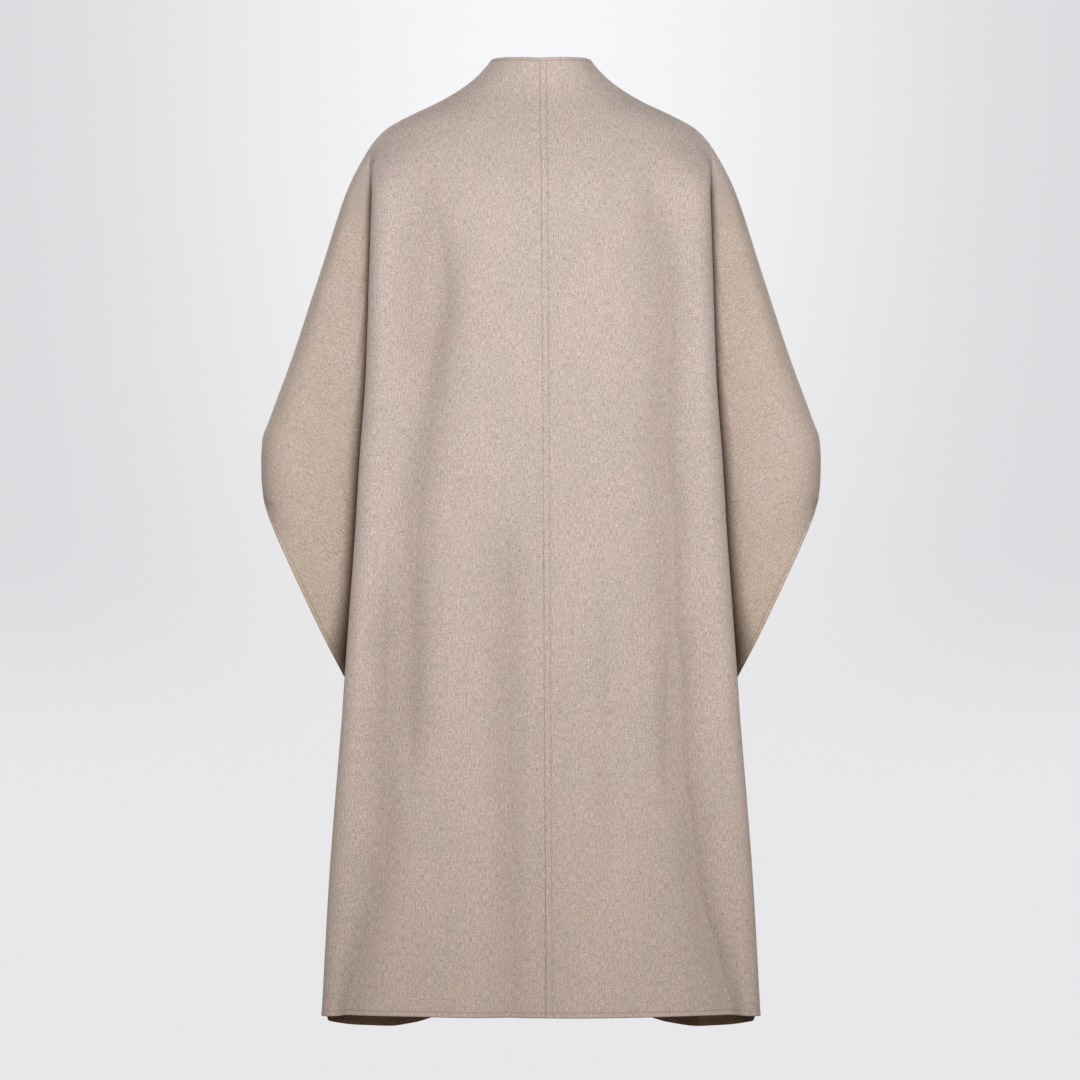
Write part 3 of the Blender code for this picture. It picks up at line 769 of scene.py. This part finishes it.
def half_walls(piece, cloth):
    """Half of the wall's thickness outwards and inwards at every point of the grid."""
    rolled_edges = [cloth.from_end, *from_top_and_hem(cloth)]
    if piece.face < 0:
        rolled_edges.append(cloth.from_centre)
    rolled = rounded(np.minimum.reduce(rolled_edges), EDGE_ROLL, EDGE_SHARE)
    if piece.face > 0:
        rolled = np.minimum(rolled, rounded(cloth.from_centre, SEAM_ROLL, SEAM_SHARE))
    inner = WALL / 2 * rolled
    outer = inner.copy()
    if piece.face > 0 and piece.side > 0:
        outer += bell(cloth.from_centre, RIDGE_PLACE, DENT_WIDTH, SEAM_RIDGE)
    for distance, place, raise_by, where in edges_of(piece, cloth):
        outer += where * turned(distance, place, raise_by)
        outer -= where * bell(distance, place, DENT_WIDTH, STITCH_DENT)
    return np.maximum(outer, THINNEST), inner


def pressed(piece, cloth):
    """How far stitches, seams and edges press the nap down, with painted shade in their dents and
    along the edges, from 0 to 1.
    """
    marks = [
        bell(cloth.from_centre, 0.0, CENTRE_MARK_WIDTH, CENTRE_MARK),
        bell(cloth.from_end, 0.0, END_MARK_WIDTH, EDGE_MARK),
    ]
    for distance, place, _, where in edges_of(piece, cloth):
        felled = place == FELL_STITCH
        mark = FELL_MARK if felled else STITCH_MARK
        marks.append(where * bell(distance, place, DENT_WIDTH, mark))
        if not felled:
            marks.append(where * bell(distance, 0.0, EDGE_MARK_WIDTH, EDGE_MARK))
    return np.maximum.reduce(marks)


def smooth_mesh(name, points, faces):
    mesh = bpy.data.meshes.new(name)
    mesh.from_pydata(points.tolist(), [], faces)
    mesh.update()
    mesh.shade_smooth()
    return mesh


def volume_of(points, faces):
    """The volume inside a closed mesh of quads, negative if its faces look inwards."""
    a, b, c, d = (points[faces[:, corner]] for corner in range(4))
    return float(np.sum(np.cross(a, b) * c + np.cross(a, c) * d)) / 6.0


def closed_mesh(name, outer, inner, grain):
    """A closed mesh between two skins, with the grain as its UV map. Its faces are those of
    the outer skin, as many of the inner one, and the rim."""
    rows, columns = outer.shape[:2]
    count = rows * columns
    number = np.arange(count).reshape(rows, columns)
    quads = np.stack(
        [number[:-1, :-1], number[:-1, 1:], number[1:, 1:], number[1:, :-1]], axis=-1
    ).reshape(-1, 4)
    rim = np.concatenate([number[0, :], number[1:, -1], number[-1, -2::-1], number[-2:0:-1, 0]])
    following = np.roll(rim, -1)
    walls = np.stack([rim, rim + count, following + count, following], axis=-1)
    points = np.concatenate([outer.reshape(-1, 3), inner.reshape(-1, 3)])
    faces = np.concatenate([quads, quads[:, ::-1] + count, walls])
    if volume_of(points, faces) < 0.0:
        faces = faces[:, ::-1]
    mesh = smooth_mesh(name, points, faces.tolist())
    uv = mesh.uv_layers.new(name="grain")
    loops = np.empty(len(mesh.loops), np.int64)
    mesh.loops.foreach_get("vertex_index", loops)
    both = np.concatenate([grain.reshape(-1, 2)] * 2)
    uv.data.foreach_set("uv", both[loops].astype(np.float32).ravel())
    return mesh


def shell(name, outer, inner, grain, layers):
    """The cloth of a piece, whose inner skin has the second material."""
    mesh = closed_mesh(name, outer, inner, grain)
    for layer_name, values in layers.items():
        layer = mesh.attributes.new(layer_name, "FLOAT", "POINT")
        layer.data.foreach_set("value", np.concatenate([values.ravel()] * 2).astype(np.float32))
    quads = (outer.shape[0] - 1) * (outer.shape[1] - 1)
    sides = np.zeros(len(mesh.polygons), np.int32)
    sides[quads : 2 * quads] = 1
    mesh.polygons.foreach_set("material_index", sides)
    return mesh


def strip(name, surface, normals, widths):
    """A thin closed band on the inner side of a seam, its rows given as lines of points."""
    outer = surface - normals * (WALL / 2 + ALLOWANCE_GAP)
    inner = outer - normals * ALLOWANCE_WALL
    return closed_mesh(name, outer, inner, np.stack([widths, surface[:, :, 2]], axis=-1))


# ---- stitches


def stitch_row(line, normals):
    """Short threads in a row along a line on the cloth, each as points that bow out of
    the cloth and dip back into it, and the cloth's normals there."""
    length = lengths_along(line)
    count = int(length[-1] / STITCH_PITCH)
    middles = (np.arange(count) + 0.5) * length[-1] / count
    paths = []
    for offset in THREAD_POINTS:
        at = np.clip(middles + offset * STITCH_LENGTH, 0.0, length[-1])
        normal = unit(read_along(normals, length, at))
        bow = 1.0 - (2.0 * offset) ** 2
        lift = normal * THREAD_RADIUS * (bow - THREAD_SUNK)
        paths.append(read_along(line, length, at) + lift)
    return np.stack(paths, axis=1), unit(read_along(normals, length, middles))


def thread_mesh(name, rows):
    """All the stitches of a piece as one mesh of small bowed threads."""
    points, faces = [], []
    start = 0
    radii = (THREAD_RADIUS * np.array(THREAD_TAPER))[None, :, None, None]
    turns = np.arange(THREAD_SIDES) * 2.0 * np.pi / THREAD_SIDES
    cosines, sines = np.cos(turns)[None, None, :, None], np.sin(turns)[None, None, :, None]
    for paths, normals in rows:
        along = unit(paths[:, -1] - paths[:, 0])
        aside = unit(np.cross(along, normals))
        upward = np.cross(aside, along)
        rings = paths[:, :, None, :] + radii * cosines * aside[:, None, None]
        rings = rings + radii * sines * upward[:, None, None]
        number = start + np.arange(rings[..., 0].size).reshape(rings.shape[:3])
        beside = np.roll(number, -1, axis=2)
        quads = np.stack([number[:, :-1], beside[:, :-1], beside[:, 1:], number[:, 1:]], axis=-1)
        faces.extend(quads.reshape(-1, 4).tolist())
        faces.extend(number[:, 0, ::-1].tolist())
        faces.extend(number[:, -1].tolist())
        points.append(rings.reshape(-1, 3))
        start += number.size
    return smooth_mesh(name, np.concatenate(points), faces)


def nearest(distance):
    """The grid's own column or row at a distance from an edge."""
    return int(np.argmin(np.abs(EDGE_PLACES - distance)))


def stitch_lines(piece, cloth, outer):
    """The rows of topstitching that a piece carries, each as points and normals."""
    rows = cloth.rows
    across = slice(ROW_MARGIN, -ROW_MARGIN)
    down = slice(nearest(COLLAR_STITCH), -1 - nearest(HEM_STITCH))
    cuff = (rows < CUFF_TOP - STOPS_SHORT) & (rows > UNDERARM + CUFF_ROW_ENDS)
    places = [
        (nearest(COLLAR_STITCH), across),
        (-1 - nearest(HEM_STITCH), across),
        (cuff, -1 - nearest(CUFF_STITCH)),
    ]
    if piece.face < 0:
        places.append((down, nearest(FRONT_STITCH)))
    elif piece.side < 0:
        places.append((down, nearest(FELL_STITCH)))
    return [(outer[place], cloth.normals[place]) for place in places]


# ---- materials


class Nodes:
    """A short way to write the nodes of a material or of the world."""

    def __init__(self, owner):
        owner.use_nodes = True
        self.tree = owner.node_tree

    def add(self, kind, values=None, **settings):
        node = self.tree.nodes.new(kind)
        for key, value in settings.items():
            setattr(node, key, value)
        self.set(node, values or {})
        return node

    def set(self, node, values):
        """Links or sets a node's sockets, which are given by name or by number."""
        for key, value in values.items():
            if isinstance(value, bpy.types.NodeSocket):
                self.tree.links.new(value, node.inputs[key])
            else:
                node.inputs[key].default_value = value

    def shade(self, values):
        self.set(self.tree.nodes["Principled BSDF"], values)

    def math(self, operation, first, second=0.0):
        return self.add("ShaderNodeMath", {0: first, 1: second}, operation=operation).outputs[0]

    def noise(self, vector, grains, shift):
        """Noise whose grains have a size across and along the cloth, and lean by an angle."""
        rotation = (0.0, 0.0, grains.lean)
        leaned = self.add("ShaderNodeMapping", {"Vector": vector, "Rotation": rotation})
        shift = shift + grains.shift
        values = {
            "Vector": leaned.outputs[0],
            "Location": (shift, SHIFT_ALONG * shift, 0.0),
            "Scale": (1.0 / grains.across, 1.0 / grains.along, 1.0),
        }
        scaled = self.add("ShaderNodeMapping", values).outputs[0]
        values = {
            "Vector": scaled, "Scale": 1.0, "Detail": grains.detail, "Roughness": grains.rough,
        }
        return self.add("ShaderNodeTexNoise", values, noise_dimensions="2D").outputs[0]

    def range(self, value, start, end, first, last, **settings):
        values = {0: value, 1: start, 2: end, 3: first, 4: last}
        return self.add("ShaderNodeMapRange", values, **settings).outputs[0]

    def ramp(self, value, stops, interpolation="LINEAR"):
        node = self.add("ShaderNodeValToRGB", {"Fac": value})
        ramp = node.color_ramp
        ramp.interpolation = interpolation
        while len(ramp.elements) < len(stops):
            ramp.elements.new(0.5)
        for element, (place, colour) in zip(ramp.elements, stops):
            element.position = place
            element.color = (*colour, 1.0)
        return node.outputs[0]

    def blend(self, mode, factor, first, second):
        values = {0: factor, 6: first, 7: second}
        return self.add("ShaderNodeMix", values, data_type="RGBA", blend_type=mode).outputs[2]

    def layer(self, name):
        node = self.add("ShaderNodeAttribute", attribute_name=name, attribute_type="GEOMETRY")
        return node.outputs["Fac"]


def grey(value):
    return (value, value, value)


def tinted(colour, tint):
    return tuple(share * channel for share, channel in zip(tint, colour))


OUTSIDE_TINT = (1.0, 1.0, 1.012)
# the inner face: a browner wool, darkened partly as painted shade for the cape's shaded inside
SHADED_INSIDE_TINT = (0.78, 0.61, 0.45)
INSIDE_SHIFT = 40.0
WOOL_NOISES = table(
    "across along lean detail rough shift",
    (0.0011, 0.0085, 0.02, 2.0, 0.55, 0.0),  # yarn
    (0.0007, 0.0026, -0.08, 2.0, 0.6, 3.0),  # fibre
    (0.0008, 0.0022, 0.30, 2.0, 0.6, 8.0),  # hairs
    (0.0010, 0.0016, 0.0, 1.0, 0.5, 15.0),  # specks
    (0.011, 0.030, 0.0, 3.0, 0.55, 21.0),  # mottle
    (0.060, 0.140, 0.15, 1.0, 0.5, 30.0),  # cloud
    (0.0024, 0.075, 0.0, 2.0, 0.6, 40.0),  # strokes
)
SHIFT_ALONG = 0.37  # of the shift across
YARN_SHARE = 0.30
FIBRE_SHARE = 0.40
HAIRS_SHARE = 0.30
DARK_SHARE = 0.55
LIGHT_SHARE = 0.25
NAP_SHARE = 0.9
SPECK_HEIGHT = 0.25  # of the pile's
# Places on a noise's scale, and colours.
FIBRES = (
    (0.30, (0.215, 0.160, 0.131)),
    (0.43, (0.405, 0.326, 0.284)),
    (0.53, (0.520, 0.428, 0.380)),
    (0.68, (0.700, 0.600, 0.547)),
)
MOTTLE = ((0.35, (0.982, 0.987, 0.992)), (0.65, (1.018, 1.010, 1.005)))
CLOUD = ((0.30, (0.975, 0.985, 0.965)), (0.70, (1.02, 1.01, 1.03)))
STROKES = ((0.32, grey(0.965)), (0.68, grey(1.03)))
DARK_SPECKS = ((0.27, grey(1.0)), (0.35, grey(0.0)))
LIGHT_SPECKS = ((0.66, grey(0.0)), (0.76, grey(1.0)))
CREAM = (0.80, 0.72, 0.65)
# What the wool is multiplied by, where each of these is whole.
DARK_SPECK = (0.60, 0.52, 0.46, 1.0)
ON_WING = (1.0, 0.985, 0.925, 1.0)
# painted shade in the folds: the drapes' troughs and the deep fold beside the crest
PAINTED_SHADE = (0.100, 0.060, 0.025, 1.0)
# pressed nap, with painted shade in the stitch dents, along the seams and at the edges
PRESSED_NAP_AND_SHADE = (0.52, 0.49, 0.47, 1.0)
# painted shade: the wool turns darker and warmer towards the hem, where less light falls
PAINTED_HEM_SHADE = (0.97, 0.935, 0.885, 1.0)
PAINTED_HEM_SHADE_STARTS = -0.35


def wool(name, shift, tint):
    """Brushed melange wool: cream, beige and brown fibres along the grain, a soft nap and a faint
    mottle. The tint darkens the inner face, partly as painted shade for the inside of the cape."""
    material = bpy.data.materials.new(name)
    nodes = Nodes(material)
    grain = nodes.add("ShaderNodeUVMap", uv_map="grain").outputs[0]
    yarn, fibre, hairs, specks, mottle, cloud, strokes = (
        nodes.noise(grain, grains, shift) for grains in WOOL_NOISES
    )
    mixed = nodes.math("MULTIPLY", yarn, YARN_SHARE)
    for noise, share in ((fibre, FIBRE_SHARE), (hairs, HAIRS_SHARE)):
        mixed = nodes.math("ADD", mixed, nodes.math("MULTIPLY", noise, share))
    base = nodes.ramp(mixed, [(place, tinted(colour, tint)) for place, colour in FIBRES])
    for noise, tones in ((mottle, MOTTLE), (cloud, CLOUD), (strokes, STROKES)):
        base = nodes.blend("MULTIPLY", 1.0, base, nodes.ramp(noise, tones))
    dark = nodes.math("MULTIPLY", nodes.ramp(specks, DARK_SPECKS), DARK_SHARE)
    base = nodes.blend("MULTIPLY", dark, base, DARK_SPECK)
    light = nodes.math("MULTIPLY", nodes.ramp(specks, LIGHT_SPECKS), LIGHT_SHARE)
    base = nodes.blend("MIX", light, base, (*tinted(CREAM, tint), 1.0))
    place = nodes.add("ShaderNodeTexCoord").outputs["Object"]
    height = nodes.add("ShaderNodeSeparateXYZ", {0: place}).outputs[2]
    for factor, colour in (
        (nodes.layer("wing"), ON_WING),
        # painted shade in the folds
        (nodes.layer("sunk"), PAINTED_SHADE),
        # pressed nap and painted shade at stitches, seams and edges
        (nodes.math("MULTIPLY", nodes.layer("pressed"), NAP_SHARE), PRESSED_NAP_AND_SHADE),
        # painted shade towards the hem
        (nodes.range(height, PAINTED_HEM_SHADE_STARTS, HEM, 0.0, 1.0), PAINTED_HEM_SHADE),
    ):
        base = nodes.blend("MULTIPLY", factor, base, colour)
    pile = nodes.math("ADD", mixed, nodes.math("MULTIPLY", specks, SPECK_HEIGHT))
    bump = nodes.add("ShaderNodeBump", {"Height": pile, "Strength": 0.6, "Distance": 0.0010})
    swell = nodes.add(
        "ShaderNodeBump",
        {"Height": mottle, "Strength": 0.14, "Distance": 0.0012, "Normal": bump.outputs[0]},
    )
    nodes.shade({
        "Base Color": base,
        "Roughness": nodes.range(mixed, 0.3, 0.7, 0.98, 0.86),
        "Specular IOR Level": 0.12,
        "Sheen Weight": 0.10,
        "Sheen Roughness": 0.55,
        "Sheen Tint": (1.0, 0.94, 0.88, 1.0),
        "Normal": swell.outputs[0],
    })
    return material


THREAD_TONES = ((0.35, (0.33, 0.26, 0.22)), (0.65, (0.46, 0.37, 0.32)))


def thread():
    """Matt thread, a shade darker than the wool."""
    material = bpy.data.materials.new("thread")
    nodes = Nodes(material)
    place = nodes.add("ShaderNodeTexCoord").outputs["Object"]
    values = {"Vector": place, "Scale": 2600.0, "Detail": 1.0}
    noise = nodes.add("ShaderNodeTexNoise", values).outputs[0]
    bump = nodes.add("ShaderNodeBump", {"Height": noise, "Strength": 0.4, "Distance": 0.0002})
    nodes.shade({
        "Base Color": nodes.ramp(noise, THREAD_TONES),
        "Roughness": 0.62,
        "Specular IOR Level": 0.3,
        "Normal": bump.outputs[0],
    })
    return material


# ---- pieces

Seam = namedtuple("Seam", "name first second at_end rows")


def placed(name, data):
    made = bpy.data.objects.new(name, data)
    bpy.context.scene.collection.objects.link(made)
    return made


def add_object(mesh, materials):
    for material in materials:
        mesh.materials.append(material)
    made = placed(mesh.name, mesh)
    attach(made, "root")
    return made


def add_allowance(seam, cloths, material):
    """The seam allowance inside a seam, which closes it from within."""
    columns = [nearest(place) for place in ALLOWANCE_PLACES]
    if seam.at_end:
        columns = [-1 - number for number in columns]
    first, second = cloths[seam.first], cloths[seam.second]
    points, normals = (
        np.concatenate([one[seam.rows][:, columns], other[seam.rows][:, columns[::-1]]], axis=1)
        for one, other in ((first.surface, second.surface), (first.normals, second.normals))
    )
    widths = np.concatenate([-ALLOWANCE_PLACES, ALLOWANCE_PLACES[::-1]])
    widths = np.tile(widths, (points.shape[0], 1))
    mesh = strip(f"{seam.name}_allowance", points, normals, widths)
    return add_object(mesh, (material,))


def add_piece(piece, cloth, thread_material, inner_material):
    """The cloth and the stitches of a piece."""
    outward, inward = half_walls(piece, cloth)
    outer = cloth.surface + cloth.normals * outward[:, :, None]
    inner = cloth.surface - cloth.normals * inward[:, :, None]
    layers = {"pressed": pressed(piece, cloth), "wing": cloth.wing, "sunk": cloth.shade}
    mesh = shell(f"{piece.name}_cloth", outer, inner, cloth.grain, layers)
    faces = (wool(f"{piece.name}_outside", piece.shift, OUTSIDE_TINT), inner_material)
    made = add_object(mesh, faces)
    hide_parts(piece.name)
    rows_of_stitches = [stitch_row(*line) for line in stitch_lines(piece, cloth, outer)]
    stitches = thread_mesh(f"{piece.name}_stitches", rows_of_stitches)
    threads = add_object(stitches, (thread_material,))


def seams():
    """The seams, whose allowances go with the second of the two pieces they join."""
    rows = heights()
    inside = (rows < COLLAR_TOP - STOPS_SHORT) & (rows > HEM + STOPS_SHORT)
    over_arm = inside & (rows > CUFF_TOP + STOPS_SHORT)
    side = inside & (rows < UNDERARM - STOPS_SHORT)
    yield Seam("centre_back", "back_left", "back_right", False, inside)
    for hand in ("left", "right"):
        for name, where in (("over_arm", over_arm), ("side", side)):
            yield Seam(f"{hand}_{name}", f"back_{hand}", f"front_{hand}", True, where)


def add_cape():
    thread_material = thread()
    inner_material = wool("inside", INSIDE_SHIFT, SHADED_INSIDE_TINT)
    cloths = {piece.name: cloth_of(piece) for piece in PIECES}
    allowances = {name: [] for name in cloths}
    for seam in seams():
        allowances[seam.second].append(add_allowance(seam, cloths, inner_material))
    for piece in PIECES:
        cloth = cloths[piece.name]
        add_piece(piece, cloth, thread_material, inner_material)


# ---- stage

FLOOR = -1.42
FLOOR_REACH = 3.2
FLOOR_SIDES = 96
FLOOR_FADE = (0.35, 1.35)  # from the point under the cape
FLOOR_COLOUR = (0.80, 0.80, 0.82)

# Soft boxes: azimuth from the wearer's back towards the wearer's left and height, in
# degrees, distance and size in metres, power in watts.
LAMPS = table(
    "name azimuth height distance size power",
    ("back_key", 0, 30, 3.0, 0.9, 67.0),
    ("back_side_left", 52, 0, 1.64, 0.6, 4.4),
    ("back_side_right", -52, 0, 1.64, 0.6, 5.1),
    ("back_near_left", 33, 0, 2.02, 0.6, 3.8),
    ("back_inner_left", 19, 0, 2.12, 0.6, 1.7),
    ("back_inner_right", -19, 0, 2.12, 0.6, 3.0),
    ("back_low_left", 52, -20, 1.75, 0.6, 2.9),
    ("back_low_right", -52, -20, 1.75, 0.6, 2.2),
    ("back_floor_right", -55, -30, 3.0, 0.9, 8.0),
    ("back_high_right", -42, 30, 3.0, 0.9, 2.4),
    ("front_left", 155, 25, 3.0, 1.4, 53.0),
    ("front_right", -155, 25, 3.0, 1.4, 46.0),
    ("front_low", 180, -5, 3.2, 1.4, 24.0),
)
AIM = Vector((0.0, 0.0, -0.5))
AMBIENT = 0.02
AMBIENT_COLOUR = (0.95, 0.96, 1.0, 1.0)
# The paper's painted light falls with the distance from its brightest point, in slopes of the
# view, where height counts less than width.
PAPER_SCALE = (1.0, 0.0, 0.45)
PAPER_SHIFT = (0.0, 0.0, -0.052)
PAINTED_PAPER_LIGHT = ((0.0, (0.935, 0.935, 0.95)), (0.142, (0.715, 0.715, 0.74)))
LOW_PAPER = (0.004, -0.062)  # slopes of the view between which the paper turns even
LOW_PAPER_COLOUR = (0.805, 0.805, 0.825, 1.0)


def add_floor():
    """A pale disc that fades out into the paper."""
    mesh = bpy.data.meshes.new("floor")
    turns = np.arange(FLOOR_SIDES) * 2.0 * np.pi / FLOOR_SIDES
    ring = [(FLOOR_REACH * np.cos(turn), FLOOR_REACH * np.sin(turn), FLOOR) for turn in turns]
    mesh.from_pydata(ring, [], [list(range(FLOOR_SIDES))])
    material = bpy.data.materials.new("floor")
    nodes = Nodes(material)
    place = nodes.add("ShaderNodeTexCoord").outputs["Object"]
    far = nodes.add("ShaderNodeVectorMath", {0: place, 1: (0.0, 0.0, FLOOR)}, operation="DISTANCE")
    nodes.shade({
        "Base Color": (*FLOOR_COLOUR, 1.0),
        "Roughness": 0.9,
        "Alpha": nodes.range(far.outputs["Value"], *FLOOR_FADE, 1.0, 0.0),
    })
    mesh.materials.append(material)
    floor = placed("floor", mesh)
    floor.visible_diffuse = False


def add_lamp(lamp):
    light = bpy.data.lights.new(lamp.name, "AREA")
    light.shape = "SQUARE"
    light.size = lamp.size
    light.energy = lamp.power
    azimuth, height = np.radians(lamp.azimuth), np.radians(lamp.height)
    way = Vector((
        np.sin(azimuth) * np.cos(height), np.cos(azimuth) * np.cos(height), np.sin(height),
    ))
    made = placed(lamp.name, light)
    made.location = AIM + lamp.distance * way
    made.rotation_mode = "QUATERNION"
    made.rotation_quaternion = (-way).to_track_quat("-Z", "Y")
    made.visible_camera = False


def add_world():
    """Pale studio paper behind, with a painted pool of light brightest above the collar, and
    almost no light of its own.
    """
    world = bpy.data.worlds.new("studio")
    bpy.context.scene.world = world
    nodes = Nodes(world)
    nodes.tree.nodes.clear()
    way = nodes.add("ShaderNodeTexCoord").outputs["Generated"]
    values = {"Vector": way, "Location": PAPER_SHIFT, "Scale": PAPER_SCALE}
    apart = nodes.add("ShaderNodeMapping", values).outputs[0]
    far = nodes.add("ShaderNodeVectorMath", {0: apart}, operation="LENGTH").outputs["Value"]
    slope = nodes.add("ShaderNodeSeparateXYZ", {0: way}).outputs[2]
    low = nodes.range(slope, *LOW_PAPER, 0.0, 1.0, interpolation_type="SMOOTHSTEP")
    painted_paper_light = nodes.blend("MIX", low, nodes.ramp(far, PAINTED_PAPER_LIGHT, "EASE"), LOW_PAPER_COLOUR)
    paper = nodes.add("ShaderNodeBackground", {"Color": painted_paper_light}).outputs[0]
    values = {"Color": AMBIENT_COLOUR, "Strength": AMBIENT}
    light = nodes.add("ShaderNodeBackground", values).outputs[0]
    seen = nodes.add("ShaderNodeLightPath").outputs["Is Camera Ray"]
    mix = nodes.add("ShaderNodeMixShader", {0: seen, 1: light, 2: paper}).outputs[0]
    nodes.add("ShaderNodeOutputWorld", {"Surface": mix})


def add_camera():
    data = bpy.data.cameras.new("camera")
    data.sensor_width = SENSOR
    data.lens = SENSOR * CAMERA_DISTANCE / (PIXEL * FRAME_PIXELS)
    data.clip_end = 60.0
    camera = placed("camera", data)
    camera.location = (CAMERA_X, CAMERA_DISTANCE, CAMERA_Z)
    camera.rotation_euler = (np.pi / 2, 0.0, np.pi)
    bpy.context.scene.camera = camera


for leftover in ("Cube", "Light", "Camera"):
    if leftover in bpy.data.objects:
        bpy.data.objects.remove(bpy.data.objects[leftover])
add_camera()
add_world()
add_floor()
for lamp in LAMPS:
    add_lamp(lamp)
add_cape()
bpy.context.scene.view_settings.view_transform = "Standard"
